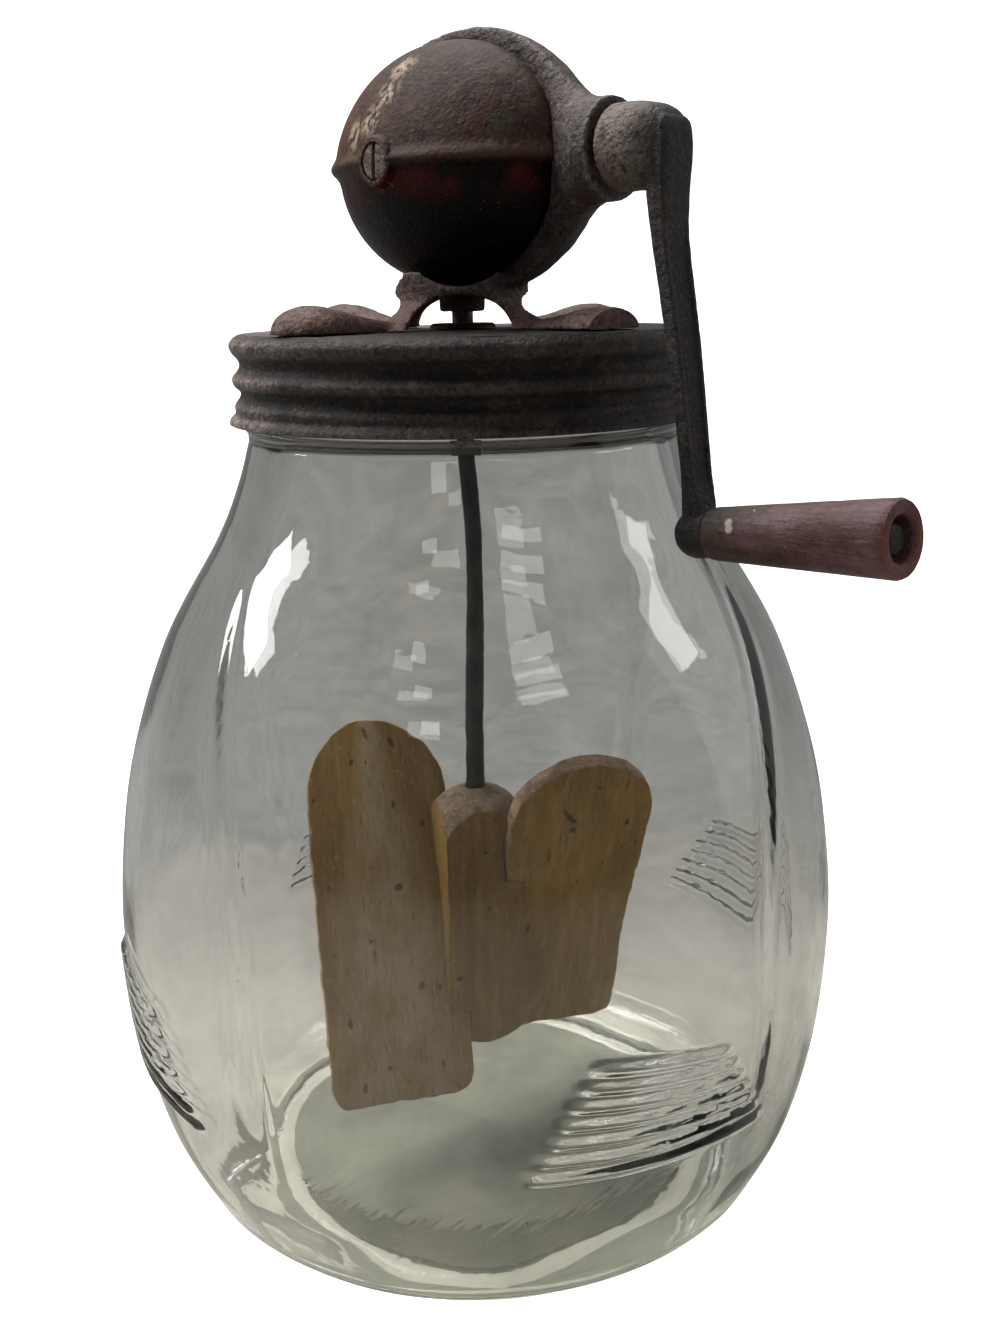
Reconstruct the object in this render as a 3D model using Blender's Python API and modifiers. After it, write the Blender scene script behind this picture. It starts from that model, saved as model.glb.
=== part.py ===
"""Hand cranked butter churn: a glass jar, a screw lid that carries a bevel gear head, and a wooden dasher.

Metres, +Z up. The origin is the middle of the jar's base. The crank axis lies along +X, and the gear
case's cover faces -Y.
"""

import math

import bmesh
import bpy
from mathutils import Matrix, Vector

# Clearances and overruns
SEAT_GAP = 0.0003           # between two pieces that touch
RUNNING_GAP = 0.0003        # round a shaft in its hole
SIDE_PLAY = 0.0006          # along a shaft, at each end of what turns
CUT_OVERRUN = 0.004         # how far a cutter reaches past what it cuts
SEATED_DEPTH = 0.0012       # how far a united shape reaches into its neighbour
WELD_DISTANCE = 0.000005    # points this close are one point

# Glass jar
JAR_HEIGHT = 0.2340
JAR_BELLY_RADIUS = 0.0986
JAR_MOUTH_RADIUS = 0.0512
JAR_WALL = 0.0042
JAR_FLOOR = 0.0065
JAR_FINISH_HEIGHT = 0.0200  # from the shoulder up to the rim
JAR_FINISH_WALL = 0.0028    # under the thread
JAR_NECK_STEP = 0.0016      # how far the neck stands out below the finish
JAR_HEEL_INSET = 0.0281     # from the belly in to the outer edge of the ring that the jar stands on
JAR_RING_WIDTH = 0.0045
JAR_BASE_GROOVE = 0.0060    # width of the groove inside the standing ring
JAR_BASE_GROOVE_DEPTH = 0.0010
JAR_RIM_ROUND = 0.0012
JAR_THREAD_HEIGHT = 0.0018
JAR_THREAD_WIDTH = 0.0032
JAR_THREAD_PITCH = 0.0070
JAR_THREAD_RISE = 0.0050    # from the shoulder up to the lower end of the thread
JAR_THREAD_TURNS_SHARE = 1.2

# Screw lid and its seal
SEAL_THICKNESS = 0.0024
SEAL_INSET = 0.0003         # from the jar's mouth out to the seal's inner edge
SEAL_PROUD = 0.0012         # past the jar's finish
LID_THREAD_GAP = 0.0007     # between the thread and the lid's deepest bead
LID_SHEET = 0.0012
LID_SKIRT = 0.0220
LID_BEAD_DEPTH = 0.0023
LID_FLARE = 0.0010

# Bush in the lid
BUSH_WALL = 0.0025
BUSH_FLANGE_REACH = 0.0030  # past the bush's body
BUSH_FLANGE = 0.0012
BUSH_LENGTH = 0.0050        # below the lid's top face

# Cast gear frame
CASE_RISE = 0.0080          # between the lid and the case
CASE_HALF_LENGTH = 0.0378   # along the crank axis, away from the crank
CASE_HALF_HEIGHT = 0.0314
CASE_BACK_DEPTH = 0.0285
CASE_LIP = 0.0016           # how far the frame's rim would reach past the seam's plane
CASE_WALL = 0.0030
SEAM_OFFSET = -0.0010       # plane between the frame and its cover
SNOUT_REACH = 0.0142        # how much further the snout's face lies from the dasher than the case's end
SNOUT_FACE_RADIUS = 0.0113
SNOUT_PROUD_LENGTH = 0.0230  # length of the snout that stands in front of the seam's plane
GEAR_HUB_REACH = 0.0113     # from the large gear's pitch plane to the inner end of the crank's bearing
WAIST_RADIUS = 0.0172
SKIRT_SPREAD = 0.0128       # how much wider the skirt's foot is than its waist
SKIRT_WALL = 0.0036
ARCH_HALF_WIDTH = 0.0128
ARCH_HEIGHT = 0.0086
SPINDLE_BOSS_WALL = 0.0028
SPINDLE_BOSS_FOOT = 0.0044  # above the lid's top face
FOOT_INSET = 0.0018         # from the lid's edge in to the outer end of each foot
FOOT_UNDERLAP = 0.0118      # from the skirt's edge in to the inner end of each foot
FOOT_HALF_WIDTH = 0.0092
FOOT_HEIGHT = 0.0067
RIVET_INSET = 0.0127        # from the outer end of the foot
RIVET_RADIUS = 0.0020
RIVET_HEAD_BAND = 0.0016    # past the rivet's shank
RIVET_HEAD_HEIGHT = 0.0014
RIVET_DEPTH = 0.0034        # into the foot
FOOT_COUNT = 4

# Gear cover and its screw
COVER_LENGTH_STEP = 0.0022  # how far the cover's ends lie inside the case's
COVER_HEIGHT_STEP = 0.0026
COVER_DEPTH = 0.0240
COVER_WALL = 0.0015
COVER_RIDGE_RISE = 0.0017
COVER_RIDGE_HALF_HEIGHT = 0.0066
COVER_BOSS_WALL = 0.0016
COVER_BOSS_RISE = 0.0026
SCREW_HEAD_RADIUS = 0.0041
SCREW_HEAD_HEIGHT = 0.0022
SCREW_RADIUS = 0.0016
SCREW_SLOT_WIDTH = 0.0010
SCREW_SLOT_DEPTH = 0.0011
SCREW_GRIP = 0.0100         # length of thread in the post
POST_WALL = 0.0013
POST_FRONT = 0.0125         # how far the post stands in front of the crank axis

# Bevel gears
GEAR_TEETH = 30
PINION_TEETH = 10
GEAR_PITCH_RADIUS = 0.0186
GEAR_FACE_WIDTH = 0.0062    # along the teeth
TOOTH_ADDENDUM = 0.00088
TOOTH_DEDENDUM = 0.00130
TOOTH_BACKLASH_SHARE = 0.30
TOOTH_SLOPE_SHARE = 0.36    # tangent of the flank's slope
GEAR_RIM = 0.0030
GEAR_HUB_WALL = 0.0035
PINION_HUB_WALL = 0.0022
PINION_HUB_FOOT = 0.0055    # below the pinion's large end
GEAR_PIN_RADIUS = 0.0011
PINION_PIN_RADIUS = 0.0008

# Crank
AXLE_RADIUS = 0.0040
AXLE_POST_GAP = 0.0014      # between the axle's inner end and the cover's post
WASHER_BAND = 0.0032
WASHER_THICKNESS = 0.0010
CRANK_THROW = 0.0840
CRANK_HUB_RADIUS = 0.0102
CRANK_AXLE_SEAT = 0.0070    # depth of the axle's hole in the hub
CRANK_ELBOW_REACH = 0.0136  # from the hub's inner face to the arm
CRANK_ARM_LEAN = 0.0104     # how far the arm leans out over its length
CRANK_ARM_WIDTH = 0.0096
CRANK_ARM_THICKNESS = 0.0044
CRANK_POCKET_DEPTH = 0.0007
CRANK_POCKET_RIM = 0.0013
CRANK_KNOB_RADIUS = 0.0057
CRANK_PIN_RADIUS = 0.0013

# Wooden grip on its spindle
GRIP_INNER_RADIUS = 0.0060
GRIP_OUTER_RADIUS = 0.0085
GRIP_LENGTH = 0.0468
GRIP_TILT = math.radians(5.0)     # the grip's outer end points up by this
GRIP_PLAY = 0.0004          # round the stud
GRIP_WELL_PLAY = 0.0005     # round the washer
GRIP_WELL_DEPTH = 0.0042
GRIP_ROUND = 0.0010
STUD_RADIUS = 0.0022
STUD_HEAD_BAND = 0.0012
STUD_HEAD_HEIGHT = 0.0016
STUD_WASHER_BAND = 0.0022
STUD_WASHER_THICKNESS = 0.0006
STUD_SEAT = 0.0050          # length of the stud in the crank's knob

# Dasher shafts
SPINDLE_RADIUS = 0.0027
SPINDLE_AXLE_GAP = 0.0052   # between the spindle's top and the crank's axle
SPINDLE_TAIL = 0.0160       # below the lid's top face
COUPLING_WALL = 0.0018
COUPLING_LENGTH = 0.0170
COUPLING_GRIP = 0.0075      # length of the spindle in the coupling
COUPLING_PIN_RADIUS = 0.0008
ROD_SEAT = 0.0240           # depth of the rod in the dasher's hub

# Wooden dasher
BLADE_PIVOT_RISE = 0.0619   # where the blades lean, above the jar's floor
HUB_RISE = 0.0458           # top of the hub above that
HUB_LENGTH = 0.0788
HUB_WIDTH = 0.0222
HUB_CORNER_REACH = 0.0050   # from the hub's flat sides out to its turned corners
BLADE_AZIMUTH = math.radians(59.6)
BLADE_PITCH = math.radians(23.2)
BLADE_SEAT = 0.0053         # depth of a blade in the hub
BLADE_MOUTH_GAP = 0.0048    # from a blade's outer edge to the jar's mouth
BLADE_ABOVE = 0.0637        # along the slanted blade, above its pivot
BLADE_BELOW = 0.0442
BLADE_THICKNESS = 0.0050
BLADE_CORNER = 0.0060
SLOT_GAP = 0.0003
NAIL_RADIUS = 0.0009
NAIL_SHORTFALL = 0.0052     # from the nail's point to the hub's far side
NAIL_INSET = 0.0028         # from the hub's side
NAIL_UPPER_RISE = 0.0140
NAIL_LOWER_DROP = 0.0090
ROD_PIN_RADIUS = 0.0010
ROD_PIN_DROP = 0.0170       # below the top of the hub

# Facets
ROUND_STEPS = 20
JAR_STEPS = 40
LID_STEPS = 40
SMALL_STEPS = 10
CASE_STEPS = 26
CASE_RINGS = 14
FOOT_STEPS = 12

FULL_TURN = 2 * math.pi
QUARTER_TURN = math.pi / 2

# Sizes, heights and places that follow from the sizes above
JAR_NECK_HEIGHT = JAR_HEIGHT - JAR_FINISH_HEIGHT
JAR_FINISH_RADIUS = JAR_MOUTH_RADIUS + JAR_FINISH_WALL
JAR_NECK_RADIUS = JAR_FINISH_RADIUS + JAR_NECK_STEP
JAR_BEARING_RADIUS = JAR_BELLY_RADIUS - JAR_HEEL_INSET
JAR_THREAD_START = JAR_NECK_HEIGHT + JAR_THREAD_RISE
SEAL_INNER_RADIUS = JAR_MOUTH_RADIUS + SEAL_INSET
SEAL_OUTER_RADIUS = JAR_FINISH_RADIUS + SEAL_PROUD
LID_RADIUS = JAR_FINISH_RADIUS + JAR_THREAD_HEIGHT + LID_THREAD_GAP + LID_SHEET + LID_BEAD_DEPTH
LID_UNDERSIDE = JAR_HEIGHT + SEAL_THICKNESS + 2 * SEAT_GAP
LID_TOP = LID_UNDERSIDE + LID_SHEET
AXIS_HEIGHT = CASE_RISE + CASE_HALF_HEIGHT
AXIS_Z = LID_TOP + AXIS_HEIGHT
BUSH_RADIUS = SPINDLE_RADIUS + RUNNING_GAP + BUSH_WALL
LID_HOLE_RADIUS = BUSH_RADIUS + SEAT_GAP
BUSH_FLANGE_RADIUS = BUSH_RADIUS + BUSH_FLANGE_REACH
SNOUT_FACE = CASE_HALF_LENGTH + SNOUT_REACH
SNOUT_FLUSH = SNOUT_FACE - SNOUT_PROUD_LENGTH
SKIRT_RADIUS = WAIST_RADIUS + SKIRT_SPREAD
SPINDLE_BOSS_RADIUS = SPINDLE_RADIUS + RUNNING_GAP + SPINDLE_BOSS_WALL
FOOT_REACH = LID_RADIUS - FOOT_INSET
FOOT_LENGTH = FOOT_REACH - SKIRT_RADIUS + FOOT_UNDERLAP
RIVET_PLACE = FOOT_REACH - RIVET_INSET
RIVET_HEAD_RADIUS = RIVET_RADIUS + RIVET_HEAD_BAND
COVER_HALF_LENGTH = CASE_HALF_LENGTH - COVER_LENGTH_STEP
COVER_HALF_HEIGHT = CASE_HALF_HEIGHT - COVER_HEIGHT_STEP
COVER_BOSS_RADIUS = SCREW_HEAD_RADIUS + SEAT_GAP + COVER_BOSS_WALL
POST_RADIUS = SCREW_RADIUS + SEAT_GAP + POST_WALL
GEAR_RATIO = GEAR_TEETH / PINION_TEETH
PINION_PITCH_RADIUS = GEAR_PITCH_RADIUS / GEAR_RATIO
GEAR_HUB_RADIUS = AXLE_RADIUS + SEAT_GAP + GEAR_HUB_WALL
PINION_HUB_RADIUS = SPINDLE_RADIUS + SEAT_GAP + PINION_HUB_WALL
BEARING_START = PINION_PITCH_RADIUS + GEAR_HUB_REACH
AXLE_INNER_END = POST_RADIUS + AXLE_POST_GAP
WASHER_RADIUS = AXLE_RADIUS + WASHER_BAND
CRANK_FACE = SNOUT_FACE + WASHER_THICKNESS + 2 * SEAT_GAP
KNOB_X = CRANK_FACE + CRANK_ELBOW_REACH + CRANK_ARM_LEAN
GRIP_FACE = KNOB_X + CRANK_KNOB_RADIUS * 0.7 + SEAT_GAP
GRIP_Z = AXIS_Z - CRANK_THROW
GRIP_ROOT = (KNOB_X * (1 - math.cos(GRIP_TILT)), 0, GRIP_Z - KNOB_X * math.sin(GRIP_TILT))
GRIP_BORE_RADIUS = STUD_RADIUS + GRIP_PLAY
STUD_HEAD_RADIUS = STUD_RADIUS + STUD_HEAD_BAND
STUD_WASHER_RADIUS = STUD_RADIUS + STUD_WASHER_BAND
GRIP_WELL_RADIUS = STUD_WASHER_RADIUS + GRIP_WELL_PLAY
SPINDLE_TOP = AXIS_Z - AXLE_RADIUS - SPINDLE_AXLE_GAP
SPINDLE_BOSS_TOP = AXIS_Z - GEAR_PITCH_RADIUS - PINION_HUB_FOOT - SIDE_PLAY
COUPLING_RADIUS = SPINDLE_RADIUS + SEAT_GAP + COUPLING_WALL
ROD_RADIUS = SPINDLE_RADIUS
BLADE_PIVOT_Z = JAR_FLOOR + BLADE_PIVOT_RISE
HUB_TOP_Z = BLADE_PIVOT_Z + HUB_RISE
HUB_DOME_RADIUS = HUB_WIDTH / 2 + HUB_CORNER_REACH
BLADE_INNER = HUB_WIDTH / 2 - BLADE_SEAT
BLADE_OUTER = JAR_MOUTH_RADIUS - BLADE_MOUTH_GAP
NAIL_LENGTH = HUB_WIDTH - NAIL_SHORTFALL
NAIL_PLACE = HUB_WIDTH / 2 - NAIL_INSET


def clear_scene():
    """Removes every object that the new file came with."""
    for item in list(bpy.data.objects):
        bpy.data.objects.remove(item, do_unlink=True)


def new_collection(name):
    """Makes a collection in the scene."""
    collection = bpy.data.collections.new(name)
    bpy.context.scene.collection.children.link(collection)
    return collection


def new_material(name, colour, roughness, metallic=0.0, alpha=1.0):
    """Makes a plain shaded material."""
    material = bpy.data.materials.new(name)
    material.use_nodes = True
    shader = material.node_tree.nodes["Principled BSDF"]
    shader.inputs["Base Color"].default_value = (*colour, 1.0)
    shader.inputs["Roughness"].default_value = roughness
    shader.inputs["Metallic"].default_value = metallic
    shader.inputs["Alpha"].default_value = alpha
    return material


clear_scene()
CHURN = new_collection("butter_churn")
CUTTERS = new_collection("cutters")
GLASS = new_material("clear_glass", (0.75, 0.82, 0.80), 0.04, alpha=0.35)
CAST_IRON = new_material("cast_iron", (0.10, 0.08, 0.08), 0.65, 0.7)
PAINTED_COVER = new_material("painted_cover", (0.12, 0.03, 0.035), 0.5)
LID_STEEL = new_material("rusted_steel", (0.13, 0.10, 0.095), 0.6, 0.6)
BRIGHT_STEEL = new_material("bright_steel", (0.42, 0.41, 0.40), 0.35, 1.0)
BLACK_STEEL = new_material("black_steel", (0.03, 0.03, 0.03), 0.5, 0.8)
BRASS = new_material("brass", (0.55, 0.40, 0.18), 0.4, 1.0)
RUBBER = new_material("rubber", (0.30, 0.12, 0.10), 0.8)
DASHER_WOOD = new_material("dasher_wood", (0.20, 0.13, 0.06), 0.7)
GRIP_WOOD = new_material("painted_grip", (0.16, 0.06, 0.055), 0.6)


def add_object(name, mesh, material=None, collection=CHURN):
    """Puts a mesh in the scene as a named object."""
    item = bpy.data.objects.new(name, mesh)
    collection.objects.link(item)
    if material:
        mesh.materials.append(material)
    return item


def as_cutter(item):
    """Marks an object as one that only shapes others."""
    item.hide_render = True
    item.display_type = "WIRE"
    return item


def from_bmesh(name, shape):
    """Turns a bmesh into a mesh and frees it."""
    mesh = bpy.data.meshes.new(name)
    shape.to_mesh(mesh)
    shape.free()
    return mesh


def shade(item, angle=math.radians(40)):
    """Shades a round piece smooth and keeps its sharp edges."""
    item.data.shade_smooth()
    item.data.set_sharp_from_angle(angle=angle)
    return item


def place(item, location=(0, 0, 0), rotation=(0, 0, 0)):
    """Moves and turns an object."""
    item.location = location
    item.rotation_euler = rotation
    return item


ALONG_X = (0, QUARTER_TURN, 0)      # turns a shape's own +Z to +X
ALONG_Y = (-QUARTER_TURN, 0, 0)     # turns a shape's own +Z to +Y
ALONG_GRIP = (0, QUARTER_TURN - GRIP_TILT, 0)   # turns a shape's own +Z to the grip's axis


def combine(item, other, operation="DIFFERENCE"):
    """Adds a Boolean modifier that cuts, joins or intersects."""
    modifier = item.modifiers.new(f"{operation}_{other.name}", "BOOLEAN")
    modifier.operation = operation
    modifier.object = other
    modifier.solver = "EXACT"
    weld = item.modifiers.new(f"weld_{other.name}", "WELD")
    weld.merge_threshold = WELD_DISTANCE
    return item


def join(item, other):
    """Unites a helper shape with an object."""
    return combine(item, as_cutter(other), "UNION")


def cut(item, other):
    """Cuts a helper shape out of an object."""
    return combine(item, as_cutter(other), "DIFFERENCE")


def keep_common(item, other):
    """Keeps only what an object shares with a helper shape."""
    return combine(item, as_cutter(other), "INTERSECT")


def turned(name, profile, material=None, collection=CHURN, steps=ROUND_STEPS, closed=False):
    """Turns a profile of (radius, height) points about the object's own Z axis."""
    shape = bmesh.new()
    points = [shape.verts.new((radius, 0, height)) for radius, height in profile]
    pairs = list(zip(points, points[1:]))
    if closed:
        pairs.append((points[-1], points[0]))
    for first, second in pairs:
        shape.edges.new((first, second))
    item = add_object(name, from_bmesh(name, shape), material, collection)
    screw = item.modifiers.new("turn", "SCREW")
    screw.angle = FULL_TURN
    screw.steps = steps
    screw.render_steps = steps
    screw.use_merge_vertices = True
    screw.merge_threshold = 0.00001
    screw.use_smooth_shade = True
    return item


def rod(name, radius, low, high, material=None, collection=CHURN, steps=ROUND_STEPS):
    """Makes a cylinder about Z between two heights."""
    shape = bmesh.new()
    bmesh.ops.create_cone(shape, cap_ends=True, segments=steps, radius1=radius, radius2=radius,
                          depth=high - low, matrix=Matrix.Translation((0, 0, (low + high) / 2)))
    return shade(add_object(name, from_bmesh(name, shape), material, collection))


def block(name, low, high, material=None, collection=CUTTERS):
    """Makes a box between two corners."""
    low, high = Vector(low), Vector(high)
    shape = bmesh.new()
    bmesh.ops.create_cube(shape, size=1.0)
    size = high - low
    bmesh.ops.scale(shape, vec=size, verts=shape.verts)
    bmesh.ops.translate(shape, vec=(low + high) / 2, verts=shape.verts)
    return add_object(name, from_bmesh(name, shape), material, collection)


def ellipsoid(name, half_sizes, centre, material=None, collection=CUTTERS, steps=CASE_STEPS,
              rings=CASE_RINGS):
    """Makes an ellipsoid whose poles lie along X."""
    shape = bmesh.new()
    bmesh.ops.create_uvsphere(shape, u_segments=steps, v_segments=rings, radius=1.0)
    bmesh.ops.rotate(shape, cent=(0, 0, 0), matrix=Matrix.Rotation(QUARTER_TURN, 3, "Y"), verts=shape.verts)
    bmesh.ops.scale(shape, vec=half_sizes, verts=shape.verts)
    bmesh.ops.translate(shape, vec=centre, verts=shape.verts)
    return shade(add_object(name, from_bmesh(name, shape), material, collection))


def loft(name, rings, material=None, collection=CHURN, closed=False):
    """Skins a run of rings that have the same number of points, and caps its ends."""
    shape = bmesh.new()
    rows = [[shape.verts.new(point) for point in ring] for ring in rings]
    count = len(rows[0])
    pairs = list(zip(rows, rows[1:]))
    if closed:
        pairs.append((rows[-1], rows[0]))
    for near, far in pairs:
        for index in range(count):
            after = (index + 1) % count
            shape.faces.new((near[index], near[after], far[after], far[index]))
    if not closed:
        shape.faces.new(list(reversed(rows[0])))
        shape.faces.new(rows[-1])
    bmesh.ops.recalc_face_normals(shape, faces=shape.faces)
    return add_object(name, from_bmesh(name, shape), material, collection)


def smooth_run(points, steps):
    """Runs a smooth curve through points, with a few straight steps between each pair."""
    padded = [points[0], *points, points[-1]]
    run = []
    for index in range(1, len(padded) - 2):
        before, start, end, after = (Vector(padded[index + offset]) for offset in (-1, 0, 1, 2))
        for step in range(steps):
            share = step / steps
            bend = (end - before) * share + (2 * before - 5 * start + 4 * end - after) * share ** 2
            bend += (3 * start - before - 3 * end + after) * share ** 3
            run.append(tuple(start + bend / 2))
    run.append(tuple(points[-1]))
    return run


# Jar

# Outer wall from the neck down, as shares of the neck's height and of the belly's extra radius
JAR_SHOULDER_SHARES = (
    (1.000, 0.000), (0.940, 0.090), (0.870, 0.245), (0.750, 0.600), (0.620, 0.835), (0.500, 0.950),
    (0.385, 1.000), (0.260, 0.965), (0.140, 0.835), (0.050, 0.640),
)


def jar_wall_points():
    """Gives the outer wall from the neck down to the heel, as (radius, height)."""
    swell = JAR_BELLY_RADIUS - JAR_NECK_RADIUS
    shares = [(swell_share, height_share) for height_share, swell_share in JAR_SHOULDER_SHARES]
    run = smooth_run(shares, 2)
    return [(JAR_NECK_RADIUS + swell * swell_share, JAR_NECK_HEIGHT * height_share)
            for swell_share, height_share in run]


def jar_inner_points(outer):
    """Gives the inner wall from the floor to the neck, by the wall's thickness inside the outer one."""
    inner = []
    for before, point, after in list(zip(outer, outer[1:], outer[2:]))[::2]:
        along = (Vector(after) - Vector(before)).normalized()
        inward = Vector((along.y, -along.x))
        if inward.x > 0:
            inward = -inward
        spot = Vector(point) + inward * JAR_WALL
        inner.append((min(spot.x, JAR_BELLY_RADIUS), spot.y))
    floor = JAR_FLOOR * 1.6
    return [point for point in reversed(inner) if point[1] > floor and point[0] > JAR_MOUTH_RADIUS]


def make_jar():
    """Makes the glass jar with its thread."""
    outer = jar_wall_points()
    groove_out = JAR_BEARING_RADIUS - JAR_RING_WIDTH
    groove_in = groove_out - JAR_BASE_GROOVE
    floor = [(0, JAR_FLOOR), (groove_in, JAR_FLOOR), (JAR_BEARING_RADIUS, JAR_FLOOR * 1.15)]
    inside = floor + jar_inner_points(outer) + [(JAR_MOUTH_RADIUS, JAR_NECK_HEIGHT - JAR_WALL / 2)]
    fillet = min(JAR_RIM_ROUND, JAR_FINISH_WALL * 0.45)
    rim = [
        (JAR_MOUTH_RADIUS, JAR_HEIGHT - fillet), (JAR_MOUTH_RADIUS + fillet, JAR_HEIGHT),
        (JAR_FINISH_RADIUS - fillet, JAR_HEIGHT), (JAR_FINISH_RADIUS, JAR_HEIGHT - fillet),
        (JAR_FINISH_RADIUS, JAR_NECK_HEIGHT + JAR_WALL / 2),
    ]
    heel = [(JAR_BEARING_RADIUS + JAR_RING_WIDTH / 2, JAR_BASE_GROOVE_DEPTH), (JAR_BEARING_RADIUS, 0)]
    base = [(groove_out, 0), (groove_out - JAR_BASE_GROOVE_DEPTH, JAR_BASE_GROOVE_DEPTH),
            (groove_in + JAR_BASE_GROOVE_DEPTH, JAR_BASE_GROOVE_DEPTH), (groove_in, 0), (0, 0)]
    jar = turned("jar", inside + rim + outer + heel + base, GLASS, steps=JAR_STEPS)
    return join(jar, make_jar_thread())


def make_jar_thread():
    """Makes the ridge that winds round the jar's neck and tapers at its ends."""
    turns = int(JAR_STEPS * JAR_THREAD_TURNS_SHARE)
    root = JAR_FINISH_RADIUS - SEATED_DEPTH
    rings = []
    for step in range(turns + 1):
        share = step / turns
        angle = share * FULL_TURN * JAR_THREAD_TURNS_SHARE
        height = JAR_THREAD_START + JAR_THREAD_PITCH * share * JAR_THREAD_TURNS_SHARE
        taper = min(1.0, 0.15 + 6 * min(share, 1 - share))
        crest = JAR_FINISH_RADIUS + JAR_THREAD_HEIGHT * taper
        half = JAR_THREAD_WIDTH / 2
        section = ((root, -half), (crest, -half / 2), (crest, half / 2), (root, half))
        rings.append([(math.cos(angle) * radius, math.sin(angle) * radius, height + rise)
                      for radius, rise in section])
    return loft("jar_thread", rings, collection=CUTTERS)


# Lid, seal and bush

# The skirt from its top corner down, as shares of its height and of the bead's depth
LID_SKIRT_SHARES = (
    (0.000, 1.35), (0.030, 0.55), (0.110, 0.00), (0.200, 0.20), (0.270, 0.75), (0.335, 0.98), (0.400, 0.72),
    (0.480, 0.10), (0.560, 0.25), (0.620, 0.85), (0.665, 1.00), (0.715, 0.80), (0.790, 0.30), (0.880, 0.30),
)


def lid_skirt_outline():
    """Gives the outside of the lid's skirt, top to bottom."""
    points = [(LID_RADIUS - LID_BEAD_DEPTH * depth, LID_TOP - LID_SKIRT * fall)
              for fall, depth in LID_SKIRT_SHARES]
    flare = [(LID_RADIUS + LID_FLARE, LID_TOP - LID_SKIRT * 0.985), (LID_RADIUS, LID_TOP - LID_SKIRT)]
    return points + flare


def make_lid():
    """Makes the pressed screw lid, with holes for the bush and the rivets."""
    outside = lid_skirt_outline()
    under = LID_UNDERSIDE
    inside = [(radius - LID_SHEET, height) for radius, height in reversed(outside[3:-2:2])]
    low_edge = [(LID_RADIUS - LID_SHEET, LID_TOP - LID_SKIRT)]
    panel = [(LID_HOLE_RADIUS, under), (LID_HOLE_RADIUS, LID_TOP)]
    corner = [(LID_RADIUS - LID_BEAD_DEPTH * 1.35 - LID_SHEET, under)]
    profile = outside + low_edge + inside + corner + panel
    lid = turned("lid_cap", profile, LID_STEEL, steps=LID_STEPS, closed=True)
    for index in range(FOOT_COUNT):
        angle = index * FULL_TURN / FOOT_COUNT
        hole = rod(f"rivet_hole_{index}", RIVET_RADIUS + SEAT_GAP, under - CUT_OVERRUN,
                   LID_TOP + CUT_OVERRUN, collection=CUTTERS, steps=SMALL_STEPS)
        place(hole, (math.cos(angle) * RIVET_PLACE, math.sin(angle) * RIVET_PLACE, 0))
        cut(lid, hole)
    return lid


def make_seal():
    """Makes the ring that seals the jar's rim."""
    low = JAR_HEIGHT + SEAT_GAP
    ring = [(SEAL_OUTER_RADIUS, low + SEAL_THICKNESS), (SEAL_OUTER_RADIUS, low), (SEAL_INNER_RADIUS, low),
            (SEAL_INNER_RADIUS, low + SEAL_THICKNESS)]
    return turned("lid_seal", ring, RUBBER, steps=LID_STEPS, closed=True)


def make_bush():
    """Makes the flanged bush that guides the spindle through the lid."""
    bore = SPINDLE_RADIUS + RUNNING_GAP
    seat = LID_TOP + SEAT_GAP
    top = seat + BUSH_FLANGE
    foot = LID_TOP - BUSH_LENGTH
    ring = [(bore, top), (BUSH_FLANGE_RADIUS - BUSH_FLANGE / 2, top),
            (BUSH_FLANGE_RADIUS, top - BUSH_FLANGE / 2), (BUSH_FLANGE_RADIUS, seat),
            (BUSH_RADIUS, seat), (BUSH_RADIUS, foot), (bore, foot)]
    return turned("spindle_bush", ring, BRASS, closed=True)


def make_foot_rivets():
    """Makes the rivets that hold the frame's feet to the lid."""
    head_top = LID_UNDERSIDE - SEAT_GAP
    profile = [(0, LID_TOP + SEAT_GAP + RIVET_DEPTH), (RIVET_RADIUS, LID_TOP + SEAT_GAP + RIVET_DEPTH),
               (RIVET_RADIUS, head_top), (RIVET_HEAD_RADIUS, head_top),
               (RIVET_HEAD_RADIUS * 0.8, head_top - RIVET_HEAD_HEIGHT * 0.7),
               (0, head_top - RIVET_HEAD_HEIGHT)]
    first = turned("foot_rivet_0", profile, LID_STEEL, steps=SMALL_STEPS)
    rivets = []
    for index in range(FOOT_COUNT):
        angle = index * FULL_TURN / FOOT_COUNT
        rivet = first
        if index:
            rivet = turned(f"foot_rivet_{index}", profile, LID_STEEL, steps=SMALL_STEPS)
        rivets.append(place(rivet, (math.cos(angle) * RIVET_PLACE, math.sin(angle) * RIVET_PLACE, 0)))
    return rivets


# Gear frame

# Sections of the case towards the snout, as shares of the snout's reach, the case's half height, the case's
# depth and the snout's radius in front of the seam
CASE_SECTION_SHARES = (
    (0.16, 0.990, 0.985, 0.00), (0.30, 0.945, 0.925, 0.00), (0.43, 0.865, 0.840, 0.00),
    (0.55, 0.745, 0.720, 0.05), (0.65, 0.605, 0.590, 0.18), (0.74, 0.490, 0.500, 0.42),
    (0.83, 0.400, 0.430, 0.72), (0.92, 0.360, 0.396, 0.95), (1.00, 0.360, 0.396, 1.00),
)
# A foot seen from above, outer end first, as shares of its length and of its half width
FOOT_SHARES = (
    (0.000, 0.00), (0.022, 0.38), (0.080, 0.74), (0.160, 0.95), (0.250, 1.00), (0.380, 0.90), (0.530, 0.68),
    (0.700, 0.46), (0.860, 0.33), (1.000, 0.26),
)
# The flared skirt under the case, as shares of its height and of its spread
SKIRT_SHARES = ((1.00, 0.00), (0.40, 0.00), (0.26, 0.14), (0.12, 0.45), (0.00, 0.92))


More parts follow.
